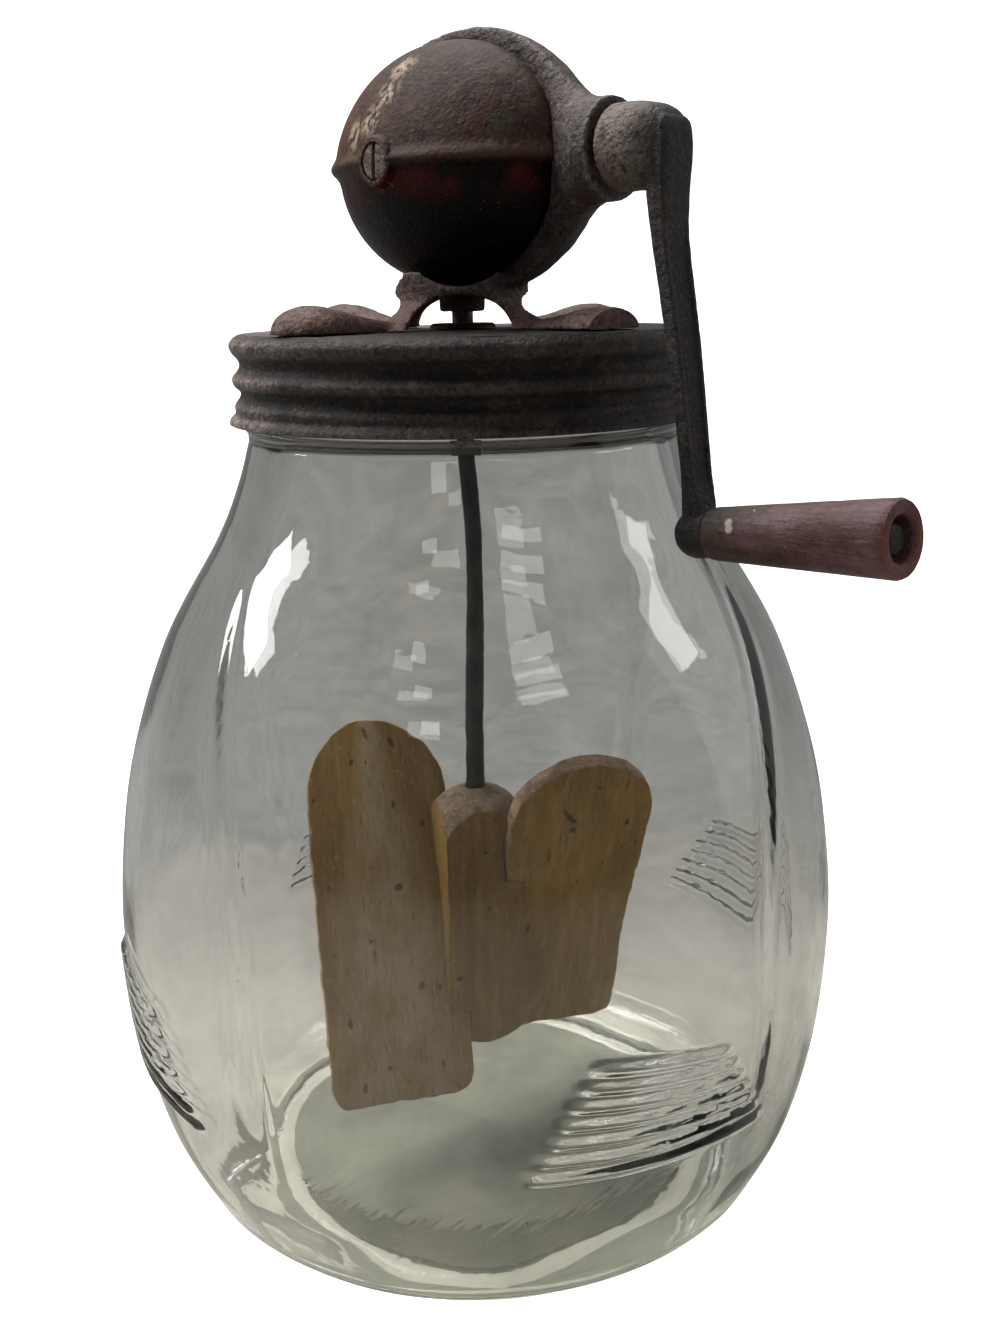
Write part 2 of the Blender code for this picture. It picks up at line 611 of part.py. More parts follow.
def case_section(x, half_height, back, front):
    """Gives one section of the case across the crank axis, deeper at the back than in front of the seam."""
    ring = []
    for index in range(CASE_STEPS):
        angle = index * FULL_TURN / CASE_STEPS
        depth = back if math.cos(angle) > 0 else front
        ring.append(Vector((x, depth * math.cos(angle), AXIS_Z + half_height * math.sin(angle))))
    return ring


def make_case():
    """Makes the outside of the case: a half egg that runs out into the round snout."""
    rings = []
    for step in range(1, CASE_RINGS // 2 + 1):
        angle = step * QUARTER_TURN / (CASE_RINGS // 2)
        rings.append(case_section(-CASE_HALF_LENGTH * math.cos(angle), CASE_HALF_HEIGHT * math.sin(angle),
                                  CASE_BACK_DEPTH * math.sin(angle), CASE_LIP))
    rings[0:0] = [case_section(-CASE_HALF_LENGTH, CASE_LIP, CASE_LIP, CASE_LIP)]
    for reach, tall, deep, proud in CASE_SECTION_SHARES:
        front = CASE_LIP + (SNOUT_FACE_RADIUS - CASE_LIP) * proud
        tall_half = CASE_HALF_HEIGHT * tall
        rings.append(case_section(SNOUT_FACE * reach, tall_half, CASE_BACK_DEPTH * deep, front))
    return loft("gear_frame", rings, CAST_IRON)


def make_skirt():
    """Makes the flared skirt under the gear case, before its arches are cut."""
    low = LID_TOP + SEAT_GAP
    height = AXIS_HEIGHT - COVER_HALF_HEIGHT * 0.66
    outer = [(WAIST_RADIUS + SKIRT_SPREAD * out, low + height * up) for up, out in SKIRT_SHARES]
    inner = [(radius - SKIRT_WALL, level) for radius, level in reversed(outer)]
    skirt = turned("skirt", outer + inner, collection=CUTTERS, steps=CASE_STEPS, closed=True)
    return cut(skirt, make_cover_room("skirt"))


def make_foot(index):
    """Makes one foot: a drop shape that is high over its rivet and runs in under the skirt."""
    profile = [(FOOT_HALF_WIDTH * wide, FOOT_REACH - FOOT_LENGTH * along) for along, wide in FOOT_SHARES]
    profile.append((0, FOOT_REACH - FOOT_LENGTH))
    foot = turned(f"foot_{index}", profile, collection=CUTTERS, steps=FOOT_STEPS)
    foot.scale = (FOOT_HEIGHT / FOOT_HALF_WIDTH, 1.0, 1.0)
    return place(foot, (0, 0, LID_TOP + SEAT_GAP), (0, QUARTER_TURN, index * FULL_TURN / FOOT_COUNT))


def make_frame():
    """Makes the cast frame: case back, snout, skirt, feet, spindle boss and cover post."""
    case = (CASE_HALF_LENGTH, CASE_BACK_DEPTH, CASE_HALF_HEIGHT)
    frame = make_case()
    wide = CASE_HALF_LENGTH + CUT_OVERRUN
    cut(frame, block("case_front", (-wide, -wide, LID_TOP), (SNOUT_FLUSH, SEAM_OFFSET, AXIS_Z + wide)))
    cut(frame, make_cover_room("snout"))
    join(frame, make_skirt())
    low = LID_TOP + SPINDLE_BOSS_FOOT
    cavity = ellipsoid("case_cavity", tuple(size - CASE_WALL for size in case), (0, 0, AXIS_Z))
    keep_bearing = block("bearing_keep", (BEARING_START, -wide, LID_TOP), (wide * 2, wide, AXIS_Z + wide))
    cut(cavity, keep_bearing)
    cut(frame, cavity)
    cut(frame, make_pinion_room("frame"))
    for index in range(FOOT_COUNT):
        join(frame, make_foot(index))
    for index in range(2):
        cut(frame, make_arch(index))
    join(frame, rod("spindle_boss", SPINDLE_BOSS_RADIUS, low, SPINDLE_BOSS_TOP, collection=CUTTERS))
    join(frame, make_post())
    below = block("below_lid", (-FOOT_REACH * 2, -FOOT_REACH * 2, LID_TOP - FOOT_REACH),
                  (FOOT_REACH * 2, FOOT_REACH * 2, LID_TOP + SEAT_GAP))
    cut(frame, below)
    cut(frame, rod("spindle_bore", SPINDLE_RADIUS + RUNNING_GAP, low - CUT_OVERRUN,
                   SPINDLE_BOSS_TOP + CUT_OVERRUN, collection=CUTTERS))
    shade(frame)
    bearing = rod("crank_bore", AXLE_RADIUS + RUNNING_GAP, BEARING_START - CUT_OVERRUN,
                  SNOUT_FACE + CUT_OVERRUN, collection=CUTTERS)
    cut(frame, place(bearing, (0, 0, AXIS_Z), ALONG_X))
    thread = rod("post_thread", SCREW_RADIUS + SEAT_GAP, -POST_FRONT - CUT_OVERRUN,
                 SCREW_GRIP + SEAT_GAP - POST_FRONT, collection=CUTTERS, steps=SMALL_STEPS)
    cut(frame, place(thread, (0, 0, AXIS_Z), ALONG_Y))
    for index in range(FOOT_COUNT):
        angle = index * FULL_TURN / FOOT_COUNT
        hole = rod(f"foot_hole_{index}", RIVET_RADIUS + SEAT_GAP, LID_TOP - CUT_OVERRUN,
                   LID_TOP + 2 * SEAT_GAP + RIVET_DEPTH, collection=CUTTERS, steps=SMALL_STEPS)
        cut(frame, place(hole, (math.cos(angle) * RIVET_PLACE, math.sin(angle) * RIVET_PLACE, 0)))
    return frame


def ridged_dome(name, extra=0.0, material=None, collection=CUTTERS):
    """Makes the outside of the cover, ridge included, as much larger as asked."""
    centre = (0, SEAM_OFFSET, AXIS_Z)
    sizes = (COVER_HALF_LENGTH + extra, COVER_DEPTH + extra, COVER_HALF_HEIGHT + extra)
    dome = ellipsoid(name, sizes, centre, material, collection)
    ridge_sizes = (COVER_HALF_LENGTH + COVER_RIDGE_RISE / 2 + extra, COVER_DEPTH + COVER_RIDGE_RISE + extra,
                   COVER_RIDGE_HALF_HEIGHT + extra)
    return join(dome, ellipsoid(f"{name}_ridge", ridge_sizes, centre))


def make_cover_room(label):
    """Makes the cutter that leaves room for the cover in front of the seam."""
    room = ridged_dome(f"cover_room_{label}", SEAT_GAP)
    wide = CASE_HALF_LENGTH * 2
    return as_cutter(cut(room, block(f"cover_room_back_{label}", (-wide, SEAM_OFFSET, AXIS_Z - wide),
                                     (wide, wide, AXIS_Z + wide))))


def make_pinion_room(label):
    """Makes the cutter that keeps the case and its cover clear of the pinion."""
    radius = PINION_PITCH_RADIUS + TOOTH_ADDENDUM + RUNNING_GAP
    return rod(f"pinion_room_{label}", radius, SPINDLE_BOSS_TOP + SIDE_PLAY / 2,
               AXIS_Z - GEAR_PITCH_RADIUS / 2, collection=CUTTERS)


def make_arch(index):
    """Makes the cutter for one pair of arches between the legs."""
    arch = rod(f"arch_{index}", 1.0, -1.0, 1.0, collection=CUTTERS)
    arch.scale = (ARCH_HEIGHT, ARCH_HALF_WIDTH, SKIRT_RADIUS * 1.6)
    return place(arch, (0, 0, LID_TOP), (0, QUARTER_TURN, math.pi / 4 + index * QUARTER_TURN))


def make_post():
    """Makes the post inside the case that takes the cover's screw."""
    post = rod("cover_post", POST_RADIUS, -POST_FRONT, CASE_BACK_DEPTH - CASE_WALL / 2, collection=CUTTERS)
    return place(post, (0, 0, AXIS_Z), ALONG_Y)


# Gear cover

def make_cover():
    """Makes the domed cover with its ridge and screw boss."""
    sizes = (COVER_HALF_LENGTH, COVER_DEPTH, COVER_HALF_HEIGHT)
    cover = ridged_dome("gear_cover", material=PAINTED_COVER, collection=CHURN)
    boss_face = COVER_DEPTH + COVER_BOSS_RISE
    boss = turned("cover_boss", [(0, boss_face), (COVER_BOSS_RADIUS * 0.88, boss_face),
                                 (COVER_BOSS_RADIUS, boss_face - COVER_BOSS_RISE * 0.3),
                                 (COVER_BOSS_RADIUS * 1.15, COVER_DEPTH - COVER_WALL),
                                 (0, COVER_DEPTH - COVER_WALL)], collection=CUTTERS)
    join(cover, place(boss, (0, SEAM_OFFSET, AXIS_Z), (QUARTER_TURN, 0, 0)))
    cavity = ellipsoid("cover_cavity", tuple(size - COVER_WALL for size in sizes), (0, SEAM_OFFSET, AXIS_Z))
    cut(cover, cavity)
    cut(cover, make_pinion_room("cover"))
    wide = CASE_HALF_LENGTH * 2
    back = block("cover_back", (-wide, SEAM_OFFSET - SEAT_GAP, LID_TOP - wide), (wide, wide, AXIS_Z + wide))
    cut(cover, back)
    well = rod("screw_well", SCREW_HEAD_RADIUS + SEAT_GAP, COVER_DEPTH, boss_face + CUT_OVERRUN,
               collection=CUTTERS)
    cut(cover, place(well, (0, SEAM_OFFSET, AXIS_Z), (QUARTER_TURN, 0, 0)))
    hole = rod("screw_hole", SCREW_RADIUS + SEAT_GAP, COVER_DEPTH - CUT_OVERRUN, COVER_DEPTH + CUT_OVERRUN,
               collection=CUTTERS, steps=SMALL_STEPS)
    cut(cover, place(hole, (0, SEAM_OFFSET, AXIS_Z), (QUARTER_TURN, 0, 0)))
    axle_room = rod("cover_axle_room", AXLE_RADIUS + RUNNING_GAP, BEARING_START,
                    COVER_HALF_LENGTH + CUT_OVERRUN, collection=CUTTERS)
    cut(cover, place(axle_room, (0, 0, AXIS_Z), ALONG_X))
    return cut(cover, rod("cover_boss_room", SPINDLE_BOSS_RADIUS + SEAT_GAP, LID_TOP,
                          SPINDLE_BOSS_TOP + SIDE_PLAY, collection=CUTTERS))


def make_cover_screw():
    """Makes the slotted screw that holds the cover to the frame's post."""
    seat = COVER_DEPTH + SEAT_GAP
    tip = POST_FRONT + SEAM_OFFSET - SCREW_GRIP
    face = seat + SCREW_HEAD_HEIGHT
    profile = [(0, face), (SCREW_HEAD_RADIUS * 0.9, face),
               (SCREW_HEAD_RADIUS, face - SCREW_HEAD_HEIGHT * 0.2), (SCREW_HEAD_RADIUS, seat),
               (SCREW_RADIUS, seat), (SCREW_RADIUS, tip), (0, tip)]
    screw = turned("cover_screw", profile, BRIGHT_STEEL)
    place(screw, (0, SEAM_OFFSET, AXIS_Z), (QUARTER_TURN, 0, 0))
    half = SCREW_SLOT_WIDTH / 2
    slot = block("screw_slot", (-half, SEAM_OFFSET - face - CUT_OVERRUN, AXIS_Z - SCREW_HEAD_RADIUS * 2),
                 (half, SEAM_OFFSET - face + SCREW_SLOT_DEPTH, AXIS_Z + SCREW_HEAD_RADIUS * 2))
    return cut(screw, slot)


# Bevel gears

def bevel_ring(teeth, pitch_radius, mate_radius, cone_share, phase):
    """Gives one ring of a bevel gear's teeth about Z, with the cones' shared tip at the origin."""
    slant = math.atan2(pitch_radius, mate_radius)
    length = math.hypot(pitch_radius, mate_radius)
    half = FULL_TURN * pitch_radius / teeth / 4 * (1 - TOOTH_BACKLASH_SHARE)
    corners = ((-TOOTH_DEDENDUM, -half - TOOTH_DEDENDUM * TOOTH_SLOPE_SHARE),
               (TOOTH_ADDENDUM, -half + TOOTH_ADDENDUM * TOOTH_SLOPE_SHARE),
               (TOOTH_ADDENDUM, half - TOOTH_ADDENDUM * TOOTH_SLOPE_SHARE),
               (-TOOTH_DEDENDUM, half + TOOTH_DEDENDUM * TOOTH_SLOPE_SHARE))
    ring = []
    for tooth in range(teeth):
        middle = (tooth + phase) * FULL_TURN / teeth
        for rise, side in corners:
            radius = (length * math.sin(slant) + rise * math.cos(slant)) * cone_share
            axial = (length * math.cos(slant) - rise * math.sin(slant)) * cone_share
            angle = middle + side * cone_share / radius
            ring.append((radius * math.cos(angle), radius * math.sin(angle), axial))
    return ring


def flat_ring(toothed, radius, height):
    """Gives a plain ring at a radius and height, with each point in line with one of a toothed ring."""
    angles = [math.atan2(y, x) for x, y, z in toothed]
    return [(radius * math.cos(angle), radius * math.sin(angle), height) for angle in angles]


def bevel_gear(name, teeth, pitch_radius, mate_radius, hub_radius, hub_end, bore, material, phase,
               rotation):
    """Makes a bevel gear whose teeth narrow towards the crossing of the two shafts."""
    length = math.hypot(pitch_radius, mate_radius)
    inner_share = 1 - GEAR_FACE_WIDTH / length
    large = bevel_ring(teeth, pitch_radius, mate_radius, 1.0, phase)
    small = bevel_ring(teeth, pitch_radius, mate_radius, inner_share, phase)
    back = max(point[2] for point in large)
    front = min(point[2] for point in small)
    floor = max(point[2] for point in small)
    inner_radius = min(math.hypot(point[0], point[1]) for point in small)
    rim = pitch_radius - TOOTH_DEDENDUM * 2
    plate = max(back + GEAR_RIM - TOOTH_DEDENDUM * 2, floor)
    web = (front + floor) / 2
    inner_ring = flat_ring(small, inner_radius - TOOTH_DEDENDUM, web)
    rings = [flat_ring(large, rim, plate), large, small, inner_ring]
    gear = place(loft(name, rings, material), (0, 0, AXIS_Z), rotation)
    hub = rod(f"{name}_hub", hub_radius, max(back, plate - SEATED_DEPTH), hub_end, collection=CUTTERS)
    join(gear, place(hub, (0, 0, AXIS_Z), rotation))
    hole = rod(f"{name}_bore", bore, web - CUT_OVERRUN, hub_end + CUT_OVERRUN, collection=CUTTERS)
    return cut(gear, place(hole, (0, 0, AXIS_Z), rotation))


def make_gears():
    """Makes the large gear on the crank's axle and the pinion on the dasher's spindle, in mesh."""
    gear_bore = AXLE_RADIUS + SEAT_GAP
    gear = bevel_gear("drive_gear", GEAR_TEETH, GEAR_PITCH_RADIUS, PINION_PITCH_RADIUS, GEAR_HUB_RADIUS,
                      BEARING_START - SIDE_PLAY, gear_bore, CAST_IRON, 0.5, ALONG_X)
    pin_x = (BEARING_START - SIDE_PLAY + PINION_PITCH_RADIUS + GEAR_RIM) / 2
    hole = rod("gear_pin_hole", GEAR_PIN_RADIUS + SEAT_GAP, -GEAR_HUB_RADIUS * 2, GEAR_HUB_RADIUS * 2,
               collection=CUTTERS, steps=SMALL_STEPS)
    place(hole, (pin_x, 0, AXIS_Z))
    cut(gear, hole)
    pin = rod("gear_pin", GEAR_PIN_RADIUS, -GEAR_HUB_RADIUS, GEAR_HUB_RADIUS, BRIGHT_STEEL,
              steps=SMALL_STEPS)
    place(pin, (pin_x, 0, AXIS_Z))
    pinion_bore = SPINDLE_RADIUS + SEAT_GAP
    pinion = bevel_gear("pinion", PINION_TEETH, PINION_PITCH_RADIUS, GEAR_PITCH_RADIUS, PINION_HUB_RADIUS,
                        GEAR_PITCH_RADIUS + PINION_HUB_FOOT, pinion_bore, BRIGHT_STEEL, 0.0, (math.pi, 0, 0))
    pin_z = AXIS_Z - GEAR_PITCH_RADIUS - PINION_HUB_FOOT * 0.6
    pinion_hole = rod("pinion_pin_hole", PINION_PIN_RADIUS + SEAT_GAP, -PINION_HUB_RADIUS * 2,
                      PINION_HUB_RADIUS * 2, collection=CUTTERS, steps=SMALL_STEPS)
    place(pinion_hole, (0, 0, pin_z), ALONG_X)
    cut(pinion, pinion_hole)
    pinion_pin = rod("pinion_pin", PINION_PIN_RADIUS, -PINION_HUB_RADIUS, PINION_HUB_RADIUS, BRIGHT_STEEL,
                     steps=SMALL_STEPS)
    place(pinion_pin, (0, 0, pin_z), ALONG_X)
    return hole, pinion_hole


# Crank

# Sections of the crank: share of the elbow's reach or the arm's lean, share of the drop, tilt in degrees,
# thickness share, width share and squareness
CRANK_ELBOW_SHARES = (
    (0.00, 0.000, 0, 1.00, 1.00, 2.0), (0.22, 0.003, 0, 0.95, 0.94, 2.0),
    (0.46, 0.014, 10, 0.87, 0.84, 2.2), (0.68, 0.040, 32, 0.72, 0.72, 2.4),
    (0.86, 0.090, 58, 0.47, 0.60, 2.8), (0.97, 0.150, 76, 0.29, 0.51, 3.4),
)
CRANK_ARM_SHARES = (
    (0.10, 0.215, 1.00, 1.00), (0.50, 0.520, 0.90, 0.94), (0.88, 0.840, 0.80, 0.86),
    (0.96, 0.920, 1.05, 0.88), (1.00, 0.985, 1.05, 0.80),
)


def crank_section(centre, tilt, half_thickness, half_width, squareness, points=16):
    """Gives a rounded section whose plane is turned by a tilt about Y."""
    across = Vector((math.sin(tilt), 0, math.cos(tilt)))
    ring = []
    for index in range(points):
        angle = index * FULL_TURN / points
        cos, sin = math.cos(angle), math.sin(angle)
        up = math.copysign(abs(cos) ** (2 / squareness), cos) * half_thickness
        side = math.copysign(abs(sin) ** (2 / squareness), sin) * half_width
        ring.append(centre + across * up + Vector((0, side, 0)))
    return ring


def make_crank_arm():
    """Makes the cast crank: hub, elbow, leaning arm with a sunk panel, and the knob for the grip."""
    rings = []
    for reach, drop, tilt, thick, wide, squareness in CRANK_ELBOW_SHARES:
        centre = Vector((CRANK_FACE + CRANK_ELBOW_REACH * reach, 0, AXIS_Z - CRANK_THROW * drop))
        rings.append(crank_section(centre, math.radians(tilt), CRANK_HUB_RADIUS * thick,
                                   CRANK_HUB_RADIUS * wide, squareness))
    top_x = CRANK_FACE + CRANK_ELBOW_REACH
    slope = math.atan2(CRANK_THROW, CRANK_ARM_LEAN)
    for lean, drop, thick, wide in CRANK_ARM_SHARES:
        centre = Vector((top_x + CRANK_ARM_LEAN * lean, 0, AXIS_Z - CRANK_THROW * drop))
        rings.append(crank_section(centre, slope, CRANK_ARM_THICKNESS / 2 * thick,
                                   CRANK_ARM_WIDTH / 2 * wide, 4.5))
    crank = loft("crank_arm", rings, CAST_IRON)
    knob_end = GRIP_FACE - SEAT_GAP - KNOB_X
    angles = [step * QUARTER_TURN / 5 for step in range(5)]
    round_end = [(CRANK_KNOB_RADIUS * math.cos(angle), -CRANK_KNOB_RADIUS * math.sin(angle))
                 for angle in angles]
    knob = turned("crank_knob", [(0, knob_end), (CRANK_KNOB_RADIUS * 0.94, knob_end)] + round_end
                  + [(0, -CRANK_KNOB_RADIUS)], collection=CUTTERS)
    join(crank, place(knob, (KNOB_X, 0, GRIP_Z), ALONG_GRIP))
    cut(crank, make_crank_pocket(slope, top_x))
    seat = rod("axle_seat", AXLE_RADIUS + SEAT_GAP, CRANK_FACE - CUT_OVERRUN,
               CRANK_FACE + CRANK_AXLE_SEAT + SEAT_GAP, collection=CUTTERS)
    cut(crank, place(seat, (0, 0, AXIS_Z), ALONG_X))
    stud_hole = rod("stud_hole", STUD_RADIUS + SEAT_GAP, GRIP_FACE - STUD_SEAT - 2 * SEAT_GAP,
                    GRIP_FACE + CUT_OVERRUN, collection=CUTTERS)
    cut(crank, place(stud_hole, GRIP_ROOT, ALONG_GRIP))
    shade(crank)
    return crank


def make_crank_pocket(slope, top_x):
    """Makes the cutter for the sunk panel on the arm's outer face."""
    high, low = CRANK_ARM_SHARES[0], CRANK_ARM_SHARES[2]
    rings = []
    for lean, drop, thick, wide in (high, low):
        centre = Vector((top_x + CRANK_ARM_LEAN * lean, 0, AXIS_Z - CRANK_THROW * drop))
        outward = Vector((math.sin(slope), 0, math.cos(slope)))
        half = CRANK_ARM_WIDTH / 2 * wide - CRANK_POCKET_RIM
        face = CRANK_ARM_THICKNESS / 2 * thick - CRANK_POCKET_DEPTH
        corners = ((face, -half), (face + CUT_OVERRUN, -half), (face + CUT_OVERRUN, half), (face, half))
        rings.append([centre + outward * out + Vector((0, side, 0)) for out, side in corners])
    return loft("crank_pocket", rings, collection=CUTTERS)


def make_axle(gear_pin_hole):
    """Makes the crank's axle and the pin that holds the crank on it."""
    end = CRANK_FACE + CRANK_AXLE_SEAT
    axle = rod("crank_axle", AXLE_RADIUS, AXLE_INNER_END, end, BRIGHT_STEEL)
    place(axle, (0, 0, AXIS_Z), ALONG_X)
    cut(axle, gear_pin_hole)
    pin_x = CRANK_FACE + CRANK_AXLE_SEAT / 2
    hole = rod("crank_pin_hole", CRANK_PIN_RADIUS + SEAT_GAP, -CRANK_HUB_RADIUS * 2, CRANK_HUB_RADIUS * 0.45,
               collection=CUTTERS, steps=SMALL_STEPS)
    place(hole, (pin_x, 0, AXIS_Z))
    cut(axle, hole)
    cut(bpy.data.objects["crank_arm"], hole)
    pin = rod("crank_pin", CRANK_PIN_RADIUS, -CRANK_HUB_RADIUS * 0.92,
              CRANK_HUB_RADIUS * 0.45 - SEAT_GAP, BRIGHT_STEEL, steps=SMALL_STEPS)
    place(pin, (pin_x, 0, AXIS_Z))
    low = SNOUT_FACE + SEAT_GAP
    bore = AXLE_RADIUS + SEAT_GAP
    washer = turned("axle_washer", [(WASHER_RADIUS, low + WASHER_THICKNESS), (WASHER_RADIUS, low),
                                    (bore, low), (bore, low + WASHER_THICKNESS)], BLACK_STEEL, closed=True)
    place(washer, (0, 0, AXIS_Z), ALONG_X)


def make_grip():
    """Makes the wooden grip, the stud that it turns on, and the washer under the stud's head."""
    end = GRIP_FACE + GRIP_LENGTH
    well = end - GRIP_WELL_DEPTH
    outline = [(GRIP_WELL_RADIUS, end), (GRIP_OUTER_RADIUS - GRIP_ROUND, end),
               (GRIP_OUTER_RADIUS, end - GRIP_ROUND), (GRIP_INNER_RADIUS, GRIP_FACE + GRIP_ROUND / 2),
               (GRIP_INNER_RADIUS - GRIP_ROUND / 2, GRIP_FACE), (GRIP_BORE_RADIUS, GRIP_FACE),
               (GRIP_BORE_RADIUS, well), (GRIP_WELL_RADIUS, well)]
    grip = turned("handle_grip", outline, GRIP_WOOD, closed=True)
    place(grip, GRIP_ROOT, ALONG_GRIP)
    washer_low = well + SEAT_GAP
    bore = STUD_RADIUS + SEAT_GAP
    washer = turned("grip_washer", [(STUD_WASHER_RADIUS, washer_low + STUD_WASHER_THICKNESS),
                                    (STUD_WASHER_RADIUS, washer_low), (bore, washer_low),
                                    (bore, washer_low + STUD_WASHER_THICKNESS)], BLACK_STEEL, closed=True)
    place(washer, GRIP_ROOT, ALONG_GRIP)
    head = washer_low + STUD_WASHER_THICKNESS + SEAT_GAP
    tail = GRIP_FACE - STUD_SEAT - SEAT_GAP
    stud = turned("grip_stud", [(0, head + STUD_HEAD_HEIGHT),
                                (STUD_HEAD_RADIUS * 0.7, head + STUD_HEAD_HEIGHT * 0.85),
                                (STUD_HEAD_RADIUS, head + STUD_HEAD_HEIGHT * 0.3), (STUD_HEAD_RADIUS, head),
                                (STUD_RADIUS, head), (STUD_RADIUS, tail), (0, tail)], BRIGHT_STEEL)
    place(stud, GRIP_ROOT, ALONG_GRIP)


# Dasher

def make_shafts(pinion_pin_hole):
    """Makes the spindle, the coupling under the lid and the long rod, with the coupling's two pins."""
    tail = LID_TOP - SPINDLE_TAIL
    spindle = rod("drive_spindle", SPINDLE_RADIUS, tail, SPINDLE_TOP, BRIGHT_STEEL)
    cut(spindle, pinion_pin_hole)
    sleeve_top = tail + COUPLING_GRIP
    sleeve_foot = sleeve_top - COUPLING_LENGTH
    bore = SPINDLE_RADIUS + SEAT_GAP
    sleeve = turned("rod_coupling", [(bore, sleeve_top), (COUPLING_RADIUS, sleeve_top),
                                     (COUPLING_RADIUS, sleeve_foot), (bore, sleeve_foot)], BLACK_STEEL,
                    closed=True)
    long_rod = rod("dasher_rod", ROD_RADIUS, HUB_TOP_Z - ROD_SEAT, tail - SEAT_GAP, BLACK_STEEL)
    pin_heights = (tail + COUPLING_GRIP / 2, (tail + sleeve_foot) / 2)
    for shaft, height, label in zip((spindle, long_rod), pin_heights, ("upper", "lower")):
        hole = rod(f"coupling_hole_{label}", COUPLING_PIN_RADIUS + SEAT_GAP, -COUPLING_RADIUS * 2,
                   COUPLING_RADIUS * 2, collection=CUTTERS, steps=SMALL_STEPS)
        place(hole, (0, 0, height), ALONG_X)
        cut(shaft, hole)
        cut(sleeve, hole)
        pin = rod(f"coupling_pin_{label}", COUPLING_PIN_RADIUS, -COUPLING_RADIUS, COUPLING_RADIUS,
                  BRIGHT_STEEL, steps=SMALL_STEPS)
        place(pin, (0, 0, height), ALONG_X)
    return long_rod


def blade_outline(inner, outer, above, below, corner):
    """Gives a blade's outline in its own plane: an arched top and rounded lower corners."""
    radius = (outer - inner) / 2
    middle = (outer + inner) / 2
    turns = [step * math.pi / 12 for step in range(13)]
    arch = [(middle + radius * math.cos(turn), above - radius + radius * math.sin(turn)) for turn in turns]
    left = [(inner + corner - corner * math.cos(step * QUARTER_TURN / 3),
             -below + corner - corner * math.sin(step * QUARTER_TURN / 3)) for step in range(4)]
    right = [(outer - corner + corner * math.sin(step * QUARTER_TURN / 3),
              -below + corner - corner * math.cos(step * QUARTER_TURN / 3)) for step in range(4)]
    return arch + left + right


def blade_matrix(side):
    """Gives the place of a blade: its own X points out from the hub and its own Y leans from upright."""
    turn = Matrix.Rotation(BLADE_AZIMUTH + side * math.pi, 4, "Z")
    lean = Matrix.Rotation(QUARTER_TURN + BLADE_PITCH, 4, "X")
    return Matrix.Translation((0, 0, BLADE_PIVOT_Z)) @ turn @ lean


def make_board(name, outline, thickness, matrix, material=None, collection=CHURN):
    """Makes a flat board from an outline and puts it in place."""
    half = thickness / 2
    rings = [[(x, y, -half) for x, y in outline], [(x, y, half) for x, y in outline]]
    board = loft(name, rings, material, collection)
    board.matrix_world = matrix
    return board


def make_dasher(long_rod):
    """Makes the hub block with its domed ends, the two pitched blades, their nails and the rod's pin."""
    top = HUB_TOP_Z
    foot = top - HUB_LENGTH
    half = HUB_WIDTH / 2
    hub = block("dasher_hub", (-half, -half, foot - CUT_OVERRUN), (half, half, top + CUT_OVERRUN),
                DASHER_WOOD, CHURN)
    place(hub, (0, 0, 0), (0, 0, BLADE_AZIMUTH))
    turns = [step * QUARTER_TURN / 5 for step in range(6)]
    dome = [(HUB_DOME_RADIUS * math.sin(turn), HUB_DOME_RADIUS * (1 - math.cos(turn))) for turn in turns]
    round_bar = [(radius, top - fall) for radius, fall in dome]
    round_bar += [(radius, foot + fall) for radius, fall in reversed(dome)]
    keep_common(hub, turned("hub_turning", round_bar, collection=CUTTERS, steps=ROUND_STEPS))
    outline = blade_outline(BLADE_INNER, BLADE_OUTER, BLADE_ABOVE, BLADE_BELOW, BLADE_CORNER)
    room = blade_outline(BLADE_INNER - SLOT_GAP, BLADE_OUTER + SLOT_GAP, BLADE_ABOVE + SLOT_GAP,
                         BLADE_BELOW + SLOT_GAP, BLADE_CORNER)
    blades = []
    for side, name in enumerate(("far_blade", "near_blade")):
        lean = blade_matrix(side)
        blades.append(make_board(name, outline, BLADE_THICKNESS, lean, DASHER_WOOD))
        cut(hub, make_board(f"{name}_slot", room, BLADE_THICKNESS + 2 * SLOT_GAP, lean, collection=CUTTERS))
    seat = rod("rod_seat", ROD_RADIUS + SEAT_GAP, top - ROD_SEAT - SEAT_GAP, top + CUT_OVERRUN,
               collection=CUTTERS)
    cut(hub, seat)
    pin_hole = rod("rod_pin_hole", ROD_PIN_RADIUS + SEAT_GAP, -HUB_WIDTH, HUB_WIDTH, collection=CUTTERS,
                   steps=SMALL_STEPS)
    pin_turn = (QUARTER_TURN, 0, BLADE_AZIMUTH)
    place(pin_hole, (0, 0, top - ROD_PIN_DROP), pin_turn)
    cut(hub, pin_hole)
    cut(long_rod, pin_hole)
    pin = rod("rod_pin", ROD_PIN_RADIUS, -half, half, BLACK_STEEL, steps=SMALL_STEPS)
    place(pin, (0, 0, top - ROD_PIN_DROP), pin_turn)
    make_nails(hub, blades)


